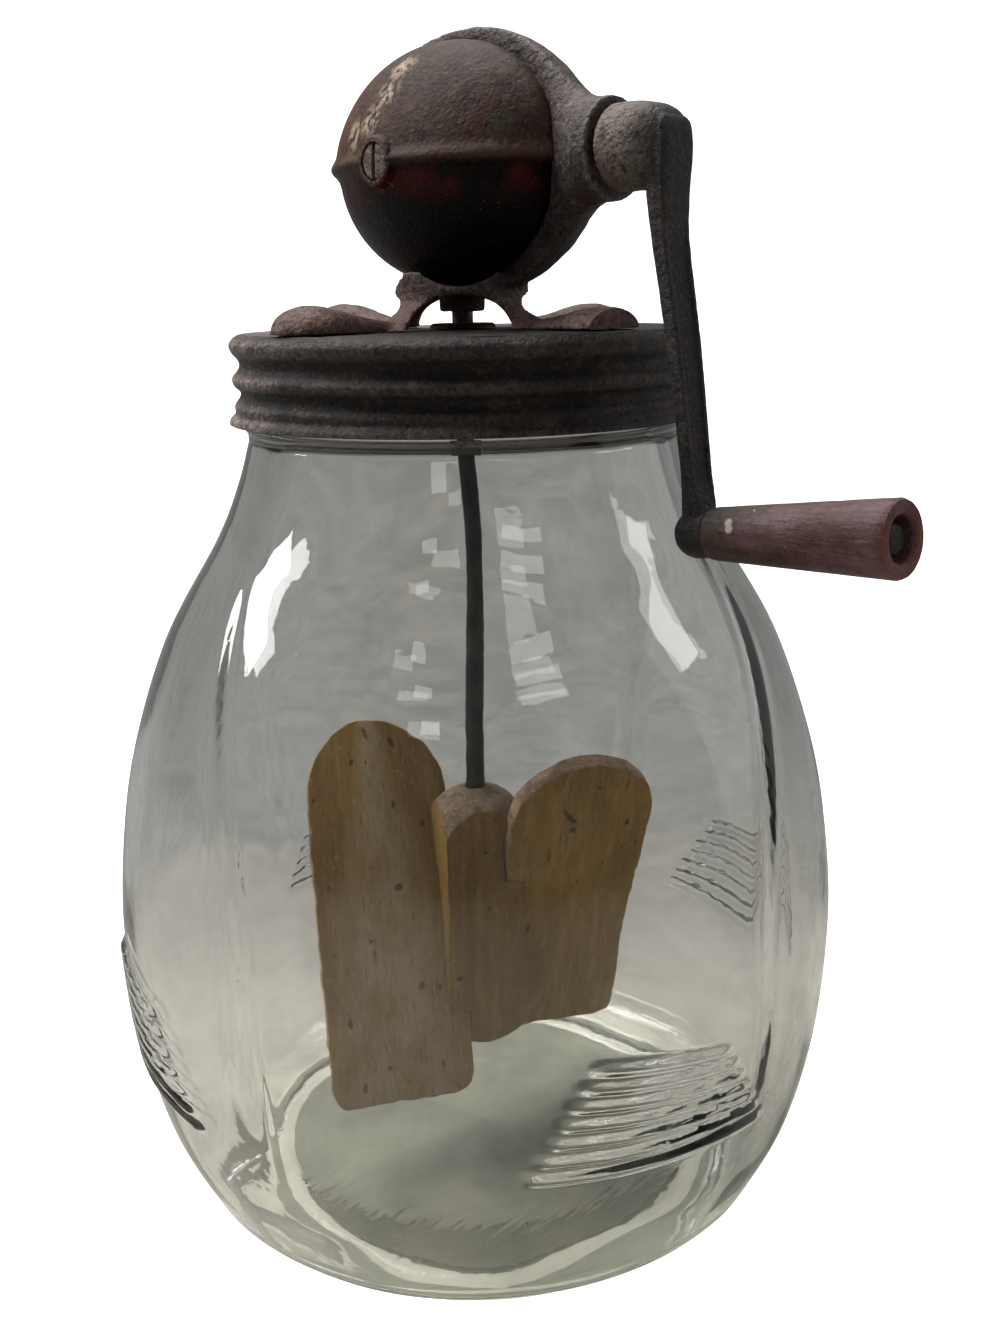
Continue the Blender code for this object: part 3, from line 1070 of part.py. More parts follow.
def make_nails(hub, blades):
    """Makes the nail through the hub into each blade."""
    point = HUB_WIDTH / 2 - NAIL_LENGTH
    for side, blade in enumerate(blades):
        turn = Matrix.Rotation(BLADE_AZIMUTH + side * math.pi, 4, "Z")
        spot = turn @ Vector((NAIL_PLACE, 0, 0))
        height = BLADE_PIVOT_Z + (NAIL_UPPER_RISE if side == 0 else -NAIL_LOWER_DROP)
        hole = rod(f"nail_hole_{side}", NAIL_RADIUS + SEAT_GAP, point - SEAT_GAP, HUB_WIDTH,
                   collection=CUTTERS, steps=SMALL_STEPS)
        nail = rod(f"blade_nail_{side}", NAIL_RADIUS, point, HUB_WIDTH / 2, BLACK_STEEL, steps=SMALL_STEPS)
        for item in (hole, nail):
            place(item, (spot.x, spot.y, height), (QUARTER_TURN, 0, BLADE_AZIMUTH))
        cut(hub, hole)
        cut(blade, hole)


make_jar()
make_seal()
make_lid()
make_bush()
make_foot_rivets()
make_frame()
make_cover()
make_cover_screw()
GEAR_PIN_HOLE, PINION_PIN_HOLE = make_gears()
make_crank_arm()
make_axle(GEAR_PIN_HOLE)
make_grip()
LONG_ROD = make_shafts(PINION_PIN_HOLE)
make_dasher(LONG_ROD)
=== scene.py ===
"""Looks of a hand cranked butter churn: glass jar, pressed lid, gear head, crank and wooden dasher."""

import logging
import math
from collections.abc import Callable, Iterable, Sequence
from dataclasses import dataclass, field
from enum import Enum

import bmesh
import bpy
from mathutils import Euler, Matrix, Vector, noise


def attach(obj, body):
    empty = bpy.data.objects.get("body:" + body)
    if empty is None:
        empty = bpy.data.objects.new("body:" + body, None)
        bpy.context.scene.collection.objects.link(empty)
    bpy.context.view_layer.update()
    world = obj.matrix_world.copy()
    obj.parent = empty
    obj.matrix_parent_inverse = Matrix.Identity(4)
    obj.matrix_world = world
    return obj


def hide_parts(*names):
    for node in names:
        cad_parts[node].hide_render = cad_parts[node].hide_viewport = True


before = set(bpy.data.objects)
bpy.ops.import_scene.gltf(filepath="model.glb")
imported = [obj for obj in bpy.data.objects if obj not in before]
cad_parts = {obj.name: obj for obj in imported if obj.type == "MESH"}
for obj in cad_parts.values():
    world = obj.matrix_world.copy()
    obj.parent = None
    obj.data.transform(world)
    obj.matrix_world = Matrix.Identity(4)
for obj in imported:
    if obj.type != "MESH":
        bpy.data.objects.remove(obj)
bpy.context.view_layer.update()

LOG = logging.getLogger("butter_churn")
MM = 0.001
FULL_TURN = 2 * math.pi
QUARTER_TURN = math.pi / 2
ON_AXIS = 1e-7
ALONG_X = Euler((0, QUARTER_TURN, 0)).to_matrix().to_4x4()
FACING_FRONT = Euler((QUARTER_TURN, 0, 0)).to_matrix().to_4x4()

Point2 = tuple[float, float]
Ring = list[Vector]
Rise = Callable[[float, float], float]
Shape = bmesh.types.BMesh
Material = bpy.types.Material
Item = bpy.types.Object
Inputs = dict[str | int, object]


class Body(Enum):
    """The moving groups of the churn."""

    JAR = "jar"
    LID = "lid"
    CRANK = "crank"
    GRIP = "grip"
    DASHER = "dasher"


class Slot(Enum):
    """The record's material slots."""

    GLASS = "glass"
    SEAL = "seal"
    LID = "lid"
    BRASS = "brass"
    CASTING = "casting"
    COVER = "cover"
    BRIGHT_STEEL = "bright_steel"
    BLACK_STEEL = "black_steel"
    DASHER = "dasher"
    GRIP = "grip"


# Colours and nodes


def linear(code: str) -> tuple[float, float, float, float]:
    """Turns an sRGB hex colour into linear light.

    Args:
        code: Six hex digits after a hash.

    Returns:
        Red, green, blue and a full alpha.
    """
    parts = [int(code[place:place + 2], 16) / 255 for place in (1, 3, 5)]
    return *(part / 12.92 if part <= 0.04045 else ((part + 0.055) / 1.055) ** 2.4 for part in parts), 1.0


def per_mm(size: float) -> float:
    """Gives the texture scale at which one cell of a pattern is this many millimetres wide."""
    return 1 / (size * MM)


class Recipe:
    """A finish's node tree, put together one node at a time."""

    def __init__(self, name: str) -> None:
        """Starts a material with an empty tree, and the place on the object that its patterns follow.

        Args:
            name: The material's name.
        """
        self.made = bpy.data.materials.new(name)
        self.made.use_nodes = True
        self.tree = self.made.node_tree
        self.tree.nodes.clear()
        self.at = self.add("TexCoord").outputs["Object"]

    def add(self, kind: str, inputs: Inputs | None = None, **settings: object) -> bpy.types.Node:
        """Adds a node with its settings and links.

        Args:
            kind: The node's type name without its ShaderNode prefix.
            inputs: Input names or numbers, each with a constant, a socket or a node (its first output).
            settings: Properties of the node.

        Returns:
            The new node.
        """
        node = self.tree.nodes.new("ShaderNode" + kind)
        for name, value in settings.items():
            setattr(node, name, value)
        for name, value in (inputs or {}).items():
            source = value.outputs[0] if isinstance(value, bpy.types.Node) else value
            if isinstance(source, bpy.types.NodeSocket):
                self.tree.links.new(source, node.inputs[name])
            else:
                node.inputs[name].default_value = source
        return node

    def patches(self, size: float, low: float, high: float, top: object = 1.0, detail: float = 5.0,
                stretch: Sequence[float] = (1.0, 1.0, 1.0), at: object = None) -> bpy.types.Node:
        """Makes uneven patches from a cloudy pattern, as wear, stains and grit have.

        Args:
            size: Width of a cell in millimetres.
            low: Level of the pattern at which the patches start.
            high: Level at which they are full.
            top: Their share where they are full, a number or another pattern that they are kept within.
            detail: How many finer layers the pattern has.
            stretch: Scale along each axis.
            at: The place to follow, or the object's own.

        Returns:
            The node that gives the share.
        """
        spot = self.add("Mapping", {"Vector": at or self.at, "Scale": tuple(stretch)})
        cloud = self.add("TexNoise", {"Vector": spot, "Scale": per_mm(size), "Detail": detail,
                                      "Roughness": 0.62})
        return self.add("MapRange", {"Value": cloud, "From Min": low, "From Max": high, "To Max": top})

    def close(self, ground: str, layers: Sequence[tuple[object, str]], relief: Sequence[tuple[object, float]],
              **inputs: object) -> Material:
        """Lays colours over a ground, adds relief, and closes the material with its shader.

        Args:
            ground: Hex colour of the ground.
            layers: Shares and the hex colours that they lay on top, the lowest first.
            relief: Heights, each with its depth in millimetres.
            inputs: More inputs of the shader, with underscores for spaces.

        Returns:
            The finished material.
        """
        colour: object = linear(ground)
        for share, code in layers:
            colour = self.add("MixRGB", {"Fac": share, "Color1": colour, "Color2": linear(code)})
        lean: Inputs = {}
        for height, depth in relief:
            lean = {"Normal": self.add("Bump", {"Height": height, "Distance": depth * MM, **lean})}
        settings = {name.replace("_", " "): value for name, value in inputs.items()}
        shader = self.add("BsdfPrincipled", {"Base Color": colour, **lean, **settings})
        self.add("OutputMaterial", {"Surface": shader})
        return self.made


# Finishes


@dataclass(frozen=True)
class JarGlass:
    """Soda-lime glass, machine blown and a little wavy. Clear, with a grey cast and a film of old residue."""

    tint: str = "#f5f4f3"
    ior: float = 1.50
    film: str = "#c9cac4"
    film_share: float = 0.09
    base_height: float = 0.0120
    film_top: float = 0.200
    film_foot: float = 0.050
    shadow: str = "#eef1ee"

    def material(self) -> Material:
        """Builds the glass: a refracting wall that lets light through to what is inside.

        Returns:
            The material.
        """
        mix = Recipe("soda_lime_glass")
        ripple = mix.patches(9.0, 0.2, 0.8, 1.0, 2.0)
        height = mix.add("SeparateXYZ", {0: mix.at}).outputs["Z"]
        foot = mix.add("MapRange", {"Value": height, "From Min": self.base_height,
                                    "From Max": self.base_height / 2})
        swirl = mix.patches(3.0, 0.35, 0.65, foot, 1.0, (1.0, 0.18, 1.0))
        lean = mix.add("Bump", {"Height": ripple, "Distance": 0.02 * MM})
        lean = mix.add("Bump", {"Height": swirl, "Distance": 0.05 * MM, "Normal": lean})
        clear = mix.add("BsdfPrincipled", {"Base Color": linear(self.tint), "Roughness": 0.015,
                                           "IOR": self.ior, "Transmission Weight": 1.0, "Normal": lean})
        low = mix.add("MapRange", {"Value": height, "From Min": self.film_top, "From Max": self.film_foot,
                                   "To Min": self.film_share * 0.35, "To Max": self.film_share})
        streak = mix.patches(2.0, 0.25, 0.8, low, 3.0, (1.0, 1.0, 0.12))
        share = mix.patches(24.0, 0.38, 0.72, streak, 6.0, (1.0, 1.0, 0.5))
        film = mix.add("BsdfDiffuse", {"Color": linear(self.film)})
        passed = mix.add("BsdfTransparent", {"Color": linear(self.shadow)})
        dusty = mix.add("MixShader", {0: share, 1: clear, 2: film})
        lit = mix.add("LightPath").outputs["Is Shadow Ray"]
        mix.add("OutputMaterial", {"Surface": mix.add("MixShader", {0: lit, 1: dusty, 2: passed})})
        return mix.made


@dataclass(frozen=True)
class CastIron:
    """Grey cast iron, sand moulded, its black paint worn to a mauve-brown skin. Dull, grainy and rusty."""

    name: str = "sand_cast_iron"
    ground: str = "#2c2425"
    worn: str = "#7b6e6c"
    rust: str = "#5f3f2e"
    fleck: str = "#a09290"
    low: str = "#0d0a0a"
    grit: float = 1.3
    worn_share: float = 0.85
    rust_share: float = 0.6
    foot_rust: float = 0.75
    hub: bool = False
    hub_worn: str = "#84746a"
    hub_start: float = 0.0600
    hub_end: float = 0.0680
    foot_brown: str = "#7d5d4e"
    foot_low: float = 0.2440
    foot_high: float = 0.2520

    def material(self) -> Material:
        """Builds the casting's skin. The grit is drawn at 1.3 mm, coarser than sand, so that it shows.

        Returns:
            The material.
        """
        mix = Recipe(self.name)
        grit = mix.patches(self.grit, 0.30, 0.70, 1.0, 4.0)
        blotch = mix.patches(15.0, 0.38, 0.66, self.worn_share, 6.0)
        edge = mix.add("MapRange", {"Value": mix.add("NewGeometry").outputs["Pointiness"], "From Min": 0.508,
                                    "From Max": 0.56, "To Max": 0.75})
        rust = mix.patches(8.0, 0.50, 0.64, mix.patches(1.8, 0.35, 0.55, self.rust_share), 6.0)
        layers = [(mix.patches(2.2, 0.32, 0.60, blotch), self.worn), (rust, self.rust), (edge, self.worn)]
        if self.hub:
            near = mix.add("SeparateXYZ", {0: mix.at}).outputs["X"]
            worn_hub = mix.add("MapRange", {"Value": near, "From Min": self.hub_end,
                                            "From Max": self.hub_start, "To Max": 0.8})
            layers.append((mix.patches(2.0, 0.26, 0.54, worn_hub), self.hub_worn))
        if self.foot_rust > 0:
            height = mix.add("SeparateXYZ", {0: mix.at}).outputs["Z"]
            feet = mix.add("MapRange", {"Value": height, "From Min": self.foot_high,
                                        "From Max": self.foot_low, "To Max": self.foot_rust})
            layers.append((mix.patches(4.0, 0.30, 0.60, feet), self.foot_brown))
        layers.append((mix.patches(0.9, 0.60, 0.74, 0.55, 3.0), self.fleck))
        layers.append((mix.patches(1.2, 0.47, 0.34, 0.85, 3.0), self.low))
        return mix.close(self.ground, layers, ((grit, 0.32), (mix.patches(5.0, 0.3, 0.7), 0.35)),
                         Roughness=mix.add("MapRange", {"Value": blotch, "To Min": 0.50, "To Max": 0.68}),
                         Metallic=0.25, Specular_IOR_Level=0.4)


@dataclass(frozen=True)
class CoverPaint:
    """Dark red enamel on pressed steel. Near black and glossy below the ridge, rubbed dull brown above it."""

    upper: str = "#3b261c"
    upper_warm: str = "#633a24"
    upper_cool: str = "#4b473b"
    pale: str = "#b9a48c"
    lower: str = "#080304"
    lower_left: str = "#2c1519"
    streak: str = "#4a0a0d"
    specks: str = "#80614f"
    pits: str = "#17100e"
    rubbed: str = "#7a5f55"
    dust: str = "#9c8a80"
    ridge: float = 0.2776
    scratches: tuple[tuple[float, float, float], ...] = (
        (-0.0111, -0.0231, 0.2844), (-0.0043, -0.0235, 0.2871),
        (-0.0009, -0.0213, 0.2929), (-0.0002, -0.0169, 0.2992))

    def material(self) -> Material:
        """Builds the paint: three worn browns above the ridge, black and red below it.

        Returns:
            The material.
        """
        mix = Recipe("worn_red_enamel")
        axes = mix.add("SeparateXYZ", {0: mix.at})
        grain = mix.patches(1.1, 0.30, 0.70, 1.0, 4.0)
        side, level = axes.outputs["X"], axes.outputs["Z"]
        left = mix.add("MapRange", {"Value": side, "From Min": -0.004, "From Max": -0.026})
        right = mix.add("MapRange", {"Value": side, "From Min": 0.000, "From Max": 0.018, "To Max": 0.75})
        foot, crest = self.ridge - 0.0024, self.ridge + 0.0010
        above = mix.add("MapRange", {"Value": level, "From Min": foot, "From Max": crest})
        below = mix.add("MapRange", {"Value": level, "From Min": crest, "From Max": foot})
        below_left = mix.add("MapRange", {"Value": level, "From Min": crest, "From Max": foot,
                                          "To Max": left})
        near = mix.add("MapRange", {"Value": level, "From Min": self.ridge - 0.0110,
                                    "From Max": self.ridge - 0.0050, "To Max": below})
        edge = mix.add("MapRange", {"Value": mix.add("NewGeometry").outputs["Pointiness"], "From Min": 0.512,
                                    "From Max": 0.58, "To Max": 0.7})
        scratched: object = 0.0
        for place in self.scratches:
            gap = mix.add("VectorMath", {0: mix.at, 1: place}, operation="DISTANCE").outputs["Value"]
            scratched = mix.add("MapRange", {"Value": gap, "From Min": 0.0050, "From Max": 0.0012,
                                             "To Min": scratched})
        marks = mix.patches(1.2, 0.46, 0.55, scratched, 5.0, (0.7, 1.0, 0.35))
        layers = (
            (mix.patches(10.0, 0.36, 0.60, left, 6.0), self.upper_warm),
            (mix.patches(8.0, 0.46, 0.62, right, 6.0, (1.0, 1.0, 0.6)), self.upper_cool),
            (mix.patches(6.0, 0.52, 0.66, 0.4, 6.0), self.upper_warm),
            (mix.patches(1.2, 0.58, 0.72, 0.45, 3.0), self.specks),
            (mix.patches(2.2, 0.48, 0.34, 0.85, 5.0), self.pits),
            (below, self.lower),
            (mix.patches(7.0, 0.30, 0.62, below_left), self.lower_left),
            (mix.patches(7.0, 0.46, 0.66, near, 4.0, (0.4, 1.0, 1.0)), self.streak),
            (edge, self.rubbed),
            (marks, self.pale),
            (mix.patches(0.8, 0.70, 0.76, 0.5, 2.0), self.dust),
        )
        rough = mix.add("MapRange", {"Value": above, "To Min": 0.34, "To Max": 0.62})
        shine = mix.add("MapRange", {"Value": above, "To Min": 0.12, "To Max": 0.22})
        return mix.close(self.upper, layers, ((grain, 0.16), (mix.patches(6.0, 0.3, 0.7), 0.25)),
                         Roughness=rough, Specular_IOR_Level=shine)


@dataclass(frozen=True)
class LidPlate:
    """Pressed tinplate, its lacquer gone black with rust. The beads' crests are rubbed to a pinkish grey, and
    towards the left stronger crests, pale specks and pale grey patches are painted light.
    """

    ground: str = "#100c0a"
    brown: str = "#30231c"
    rust: str = "#6b4836"
    # Rubbed crests: real wear, shown more strongly towards the left by the lit share as painted light.
    crest: str = "#b5a49d"
    # Pale grey on the lid's far left: painted light where the lamp falls, not grime.
    left_painted_light: str = "#75655f"
    # Pale specks that grow towards the lit left: partly real specks, partly painted glints.
    specks: str = "#b5a29a"
    pits: str = "#090706"

    def material(self) -> Material:
        """Builds the lid's skin from the wear value that its mesh carries at its points, with painted light
        on its left: stronger rubbed crests, pale specks and pale grey patches.

        Returns:
            The material.
        """
        mix = Recipe("rusted_tinplate")
        wear = mix.add("Attribute", attribute_name="wear").outputs["Fac"]
        side = mix.add("SeparateXYZ", {0: mix.at}).outputs["X"]
        # Painted light: a share that grows towards the left, where the lamp falls; it raises the rubbed
        # crests and the pale specks there.
        lit = mix.add("MapRange", {"Value": side, "From Min": 0.020, "From Max": -0.040, "To Min": 0.14})
        # Painted light: share of the pale grey patches, growing towards the far left where the lamp falls.
        left_light_share = mix.add("MapRange", {"Value": side, "From Min": -0.005, "From Max": -0.045,
                                        "To Max": 0.85})
        fine = mix.patches(1.4, 0.32, 0.62, 1.0, 5.0)
        crest = mix.add("MapRange", {"Value": wear, "From Min": 0.35, "From Max": 0.90, "To Max": lit})
        rubbed = mix.patches(14.0, 0.28, 0.56, mix.patches(1.4, 0.32, 0.62, crest))
        layers = (
            (mix.patches(12.0, 0.46, 0.70, 0.6, 6.0), self.brown),
            (mix.patches(5.0, 0.56, 0.70, 0.45, 6.0), self.rust),
            (mix.patches(3.0, 0.30, 0.56, left_light_share), self.left_painted_light),
            (rubbed, self.crest),
            (mix.patches(0.8, 0.60, 0.70, lit, 3.0), self.specks),
            (mix.patches(1.3, 0.46, 0.34, 0.9, 4.0), self.pits),
        )
        return mix.close(self.ground, layers, ((fine, 0.22), (mix.patches(7.0, 0.3, 0.7), 0.35)),
                         Roughness=mix.add("MapRange", {"Value": fine, "To Min": 0.42, "To Max": 0.62}),
                         Metallic=0.3, Specular_IOR_Level=0.45)


@dataclass(frozen=True)
class DasherWood:
    """Plain sawn maple, stained by buttermilk. Olive brown with soft grain, dark pores and a grey bloom."""

    name: str = "stained_maple"
    ground: str = "#a07a33"
    dark: str = "#745520"
    light: str = "#b18e50"
    bloom: str = "#a89c88"
    bloom_share: float = 0.0
    bloom_centre: float = 0.0
    bloom_top: float = 0.060
    bloom_foot: float = -0.040
    specks: str = "#9c8864"
    pore: str = "#463420"
    stain: str = "#2b1f15"

    def material(self) -> Material:
        """Builds the long grain from the across-and-along place that the mesh carries.

        Returns:
            The material.
        """
        mix = Recipe(self.name)
        place = mix.add("Attribute", attribute_name="grain").outputs["Vector"]
        grain = mix.patches(1.7, 0.36, 0.66, 0.35, 5.0, (1.0, 0.06, 1.0), place)
        pores = mix.patches(0.7, 0.56, 0.70, 0.60, 3.0, (1.0, 0.16, 1.0), place)
        axes = mix.add("SeparateXYZ", {0: place})
        off = mix.add("Math", {0: axes.outputs["X"], 1: self.bloom_centre}, operation="SUBTRACT")
        away = mix.add("Math", {0: off}, operation="ABSOLUTE")
        reach = mix.add("MapRange", {"Value": axes.outputs["Y"], "From Min": self.bloom_top,
                                     "From Max": self.bloom_foot, "To Min": 0.004, "To Max": 0.022})
        deep = mix.add("Math", {0: away, 1: reach}, operation="DIVIDE")
        wedge = mix.add("MapRange", {"Value": deep, "From Min": 1.15, "From Max": 0.45,
                                     "To Max": self.bloom_share})
        layers = (
            (mix.patches(26.0, 0.40, 0.60, 0.6, 4.0, (1.0, 0.35, 1.0), place), self.dark),
            (grain, self.dark),
            (mix.patches(3.0, 0.50, 0.72, 0.55, 5.0, (1.0, 0.12, 1.0), place), self.light),
            (mix.patches(9.0, 0.25, 0.60, wedge, 6.0, (1.0, 0.5, 1.0), place), self.bloom),
            (mix.patches(1.3, 0.55, 0.70, 0.35, 5.0, (1.0, 0.6, 1.0), place), self.specks),
            (pores, self.pore),
            (mix.patches(4.2, 0.70, 0.74, 0.8, 1.0, (1.0, 0.7, 1.0), place), self.stain),
        )
        return mix.close(self.ground, layers, ((grain, 0.12), (pores, 0.08)), Roughness=0.74,
                         Specular_IOR_Level=0.3)


@dataclass(frozen=True)
class EndGrain:
    """The same maple where it is cut across. Paler and pinkish, with short pores instead of lines."""

    name: str = "maple_end_grain"
    ground: str = "#9c8066"
    dark: str = "#5e4936"
    pale: str = "#b9a591"
    pore: str = "#45362a"

    def material(self) -> Material:
        """Builds the cut ends and edges.

        Returns:
            The material.
        """
        mix = Recipe(self.name)
        pores = mix.patches(0.8, 0.54, 0.68, 0.7, 3.0)
        layers = ((mix.patches(5.0, 0.40, 0.62, 0.8), self.dark),
                  (mix.patches(1.2, 0.56, 0.70, 0.6), self.pale), (pores, self.pore))
        return mix.close(self.ground, layers, ((pores, 0.14),), Roughness=0.8, Specular_IOR_Level=0.25)


@dataclass(frozen=True)
class GripPaint:
    """Turned beech under old dark red paint. Brown red, rubbed to mauve, greenish at the crank, nicked."""

    ground: str = "#4a2925"
    dark: str = "#2b1c18"
    rubbed: str = "#725458"
    green: str = "#3d362b"
    bare: str = "#a9a093"
    specks: str = "#8a6f6c"
    red_end: str = "#783a30"
    pits: str = "#1f1411"
    inner_end: float = 0.0816
    red_from: float = 0.0455
    nicks: tuple[tuple[float, float, float], ...] = ()

    def material(self) -> Material:
        """Builds the paint with grain lines along the grip, and its bare spots at their places.

        Returns:
            The material.
        """
        mix = Recipe("painted_beech")
        lines = mix.patches(1.2, 0.46, 0.68, 0.6, 5.0, (0.10, 1.0, 1.0))
        along = mix.add("SeparateXYZ", {0: mix.at}).outputs["X"]
        inner = mix.add("MapRange", {"Value": along, "From Min": self.inner_end + 0.026,
                                     "From Max": self.inner_end + 0.004})
        outer = mix.add("MapRange", {"Value": along, "From Min": self.inner_end + self.red_from,
                                     "From Max": self.inner_end + self.red_from + 0.0010, "To Max": 0.6})
        layers = [
            (mix.patches(11.0, 0.40, 0.62, 0.85, 6.0, (0.45, 1.0, 1.0)), self.rubbed),
            (mix.patches(9.0, 0.34, 0.56, inner, 5.0, (0.6, 1.0, 1.0)), self.green),
            (lines, self.dark),
            (mix.patches(1.1, 0.58, 0.72, 0.45, 4.0, (0.3, 1.0, 1.0)), self.specks),
            (outer, self.red_end),
            (mix.patches(1.4, 0.44, 0.32, 0.7, 4.0), self.pits),
            (mix.patches(2.6, 0.755, 0.775, 0.8, 2.0), self.bare),
        ]
        for spot in self.nicks:
            gap = mix.add("VectorMath", {0: mix.at, 1: spot}, operation="DISTANCE").outputs["Value"]
            nick = mix.add("MapRange", {"Value": gap, "From Min": 0.0012, "From Max": 0.0007})
            layers.append((nick, self.bare))
        return mix.close(self.ground, layers, ((lines, 0.12), (mix.patches(5.0, 0.3, 0.7), 0.2)),
                         Roughness=0.56, Specular_IOR_Level=0.35)


@dataclass(frozen=True)
class Metal:
    """Drawn mild steel or turned brass. Plain where bright, near black or brown where oiled and stained."""

    name: str
    light: str
    dark: str
    roughness: float
    metallic: float
    specks: str = "#33241b"

    def material(self) -> Material:
        """Builds the metal with stains and fine draw marks.

        Returns:
            The material.
        """
        mix = Recipe(self.name)
        fine = mix.patches(0.8, 0.55, 0.72, 0.6, 3.0)
        stain = mix.patches(5.0, 0.36, 0.62)
        rough = mix.add("MapRange", {"Value": stain, "To Min": self.roughness,
                                     "To Max": self.roughness + 0.18})
        layers = ((stain, self.dark), (fine, self.specks))
        return mix.close(self.light, layers, ((fine, 0.08),), Roughness=rough, Metallic=self.metallic)


@dataclass(frozen=True)
class SealRubber:
    """Moulded red-brown rubber, gone chalky. Matt with a fine powder bloom."""

    ground: str = "#4a2a24"
    chalk: str = "#705146"

    def material(self) -> Material:
        """Builds the seal's rubber.

        Returns:
            The material.
        """
        mix = Recipe("moulded_rubber")
        powder = mix.patches(0.9, 0.4, 0.7)
        layers = ((mix.patches(4.0, 0.35, 0.65), self.chalk),)
        return mix.close(self.ground, layers, ((powder, 0.06),), Roughness=0.85)


@dataclass(frozen=True)
class Backdrop:
    """Matt paper sweep, plain and pale. It throws a grey light back on the churn, paler from its floor."""

    seen: str = "#ffffff"
    floor: str = "#bdb8ad"
    # Paler floor under the jar, seen only through the glass: a painted pool of light that lifts the jar's
    # shadow.
    under: str = "#cbc5bb"
    table: str = "#8f8e88"
    wall: str = "#828583"
    fold: str = "#a3a29c"
    shade: str = "#6f716e"
    table_edge: float = 0.230
    glow: float = 0.55

    def material(self) -> Material:
        """Builds the paper.

        Returns:
            The material.
        """
        mix = Recipe("matt_paper")
        camera = mix.add("LightPath").outputs["Is Camera Ray"]
        away = mix.add("SeparateXYZ", {0: mix.at}).outputs["Y"]
        table = mix.add("MapRange", {"Value": away, "From Min": 0.06, "From Max": 0.15})
        reach = mix.add("VectorMath", {0: mix.at}, operation="LENGTH").outputs["Value"]
        # Painted light: paler floor within about 7 to 10 cm of the jar's axis, lifting the shadow under the
        # jar.
        under = mix.add("MapRange", {"Value": reach, "From Min": 0.100, "From Max": 0.070})
        wall = mix.add("MapRange", {"Value": away, "From Min": self.table_edge,
                                    "From Max": self.table_edge + 0.010})
        cloth = mix.patches(26.0, 0.38, 0.66, 0.45, 6.0)
        glow = mix.add("MapRange", {"Value": camera, "To Max": self.glow})
        layers = ((table, self.table), (under, self.under), (wall, self.wall), (cloth, self.fold),
                  (mix.patches(34.0, 0.46, 0.70, 0.4), self.shade), (camera, self.seen))
        return mix.close(self.floor, layers, ((mix.patches(2.5, 0.3, 0.7), 0.02),), Roughness=0.95,
                         Specular_IOR_Level=0.0, Emission_Color=linear(self.seen), Emission_Strength=glow)


# Mesh helpers


def clamp(value: float) -> float:
    """Keeps a number between 0 and 1."""
    return min(1.0, max(0.0, value))


def noise_round(angle: float, height: float, turns: float, rises: float,
                shift: Sequence[float] = (0.0, 0.0, 0.0)) -> float:
    """Gives smooth noise at a place on a turned wall.

    Args:
        angle: Angle round the wall.
        height: Height above the base.
        turns: Fineness round the wall.
        rises: Fineness up the wall.
        shift: Shift of the pattern.

    Returns:
        A number between -1 and 1.
    """
    spot = Vector((math.cos(angle) * turns, math.sin(angle) * turns, height * rises))
    return noise.noise(spot + Vector(shift))


def smooth_run(points: Sequence[Sequence[float]], steps: int) -> list[tuple[float, ...]]:
    """Runs a smooth curve through points.

    Args:
        points: Points of any one dimension.
        steps: Straight steps between each pair.

    Returns:
        The curve's points, the last one included.
    """
    rows = [Vector(point) for point in (points[0], *points, points[-1])]
    run = []
    for before, start, end, after in zip(rows, rows[1:], rows[2:], rows[3:]):
        for step in range(steps):
            share = step / steps
            bend = (end - before) * share + (2 * before - 5 * start + 4 * end - after) * share ** 2
            bend += (3 * start - before - 3 * end + after) * share ** 3
            run.append(tuple(start + bend / 2))
    run.append(tuple(points[-1]))
    return run


def ring_of(radius: float, height: float, steps: int, rise: Rise | None = None) -> Ring:
    """Gives a circle about Z.

    Args:
        radius: Its radius.
        height: Its height.
        steps: Points round it.
        rise: How far it stands out at an angle and a height.

    Returns:
        The ring, or its one point at a pole.
    """
    if radius < ON_AXIS:
        return [Vector((0, 0, height))]
    ring = []
    for step in range(steps):
        angle = FULL_TURN / steps * step
        reach = radius + (rise(angle, height) if rise else 0.0)
        ring.append(Vector((reach * math.cos(angle), reach * math.sin(angle), height)))
    return ring


def skin_rings(rings: Sequence[Ring], closed: bool = False, capped: bool = True) -> Shape:
    """Skins a run of rings.

    Args:
        rings: Rings of equal length, or of one point at a pole.
        closed: Whether the last ring joins the first.
        capped: Whether open ends get a face.

    Returns:
        The mesh.
    """
    shape = bmesh.new()
    rows = [[shape.verts.new(point) for point in ring] for ring in rings]
    pairs = list(zip(rows, rows[1:])) + ([(rows[-1], rows[0])] if closed else [])
    for near, far in pairs:
        count = max(len(near), len(far))
        for step in range(count):
            after = (step + 1) % count
            if len(near) == 1:
                shape.faces.new((near[0], far[after], far[step]))
            elif len(far) == 1:
                shape.faces.new((near[step], near[after], far[0]))
            else:
                shape.faces.new((near[step], near[after], far[after], far[step]))
    if capped and not closed:
        for row in (rows[0], rows[-1]):
            if len(row) > 2:
                shape.faces.new(row)
    bmesh.ops.recalc_face_normals(shape, faces=shape.faces)
    return shape


def turned(profile: Sequence[Point2], steps: int = 64, closed: bool = False) -> Shape:
    """Turns a profile of (radius, height) points about Z."""
    return skin_rings([ring_of(*point, steps) for point in profile], closed, capped=False)


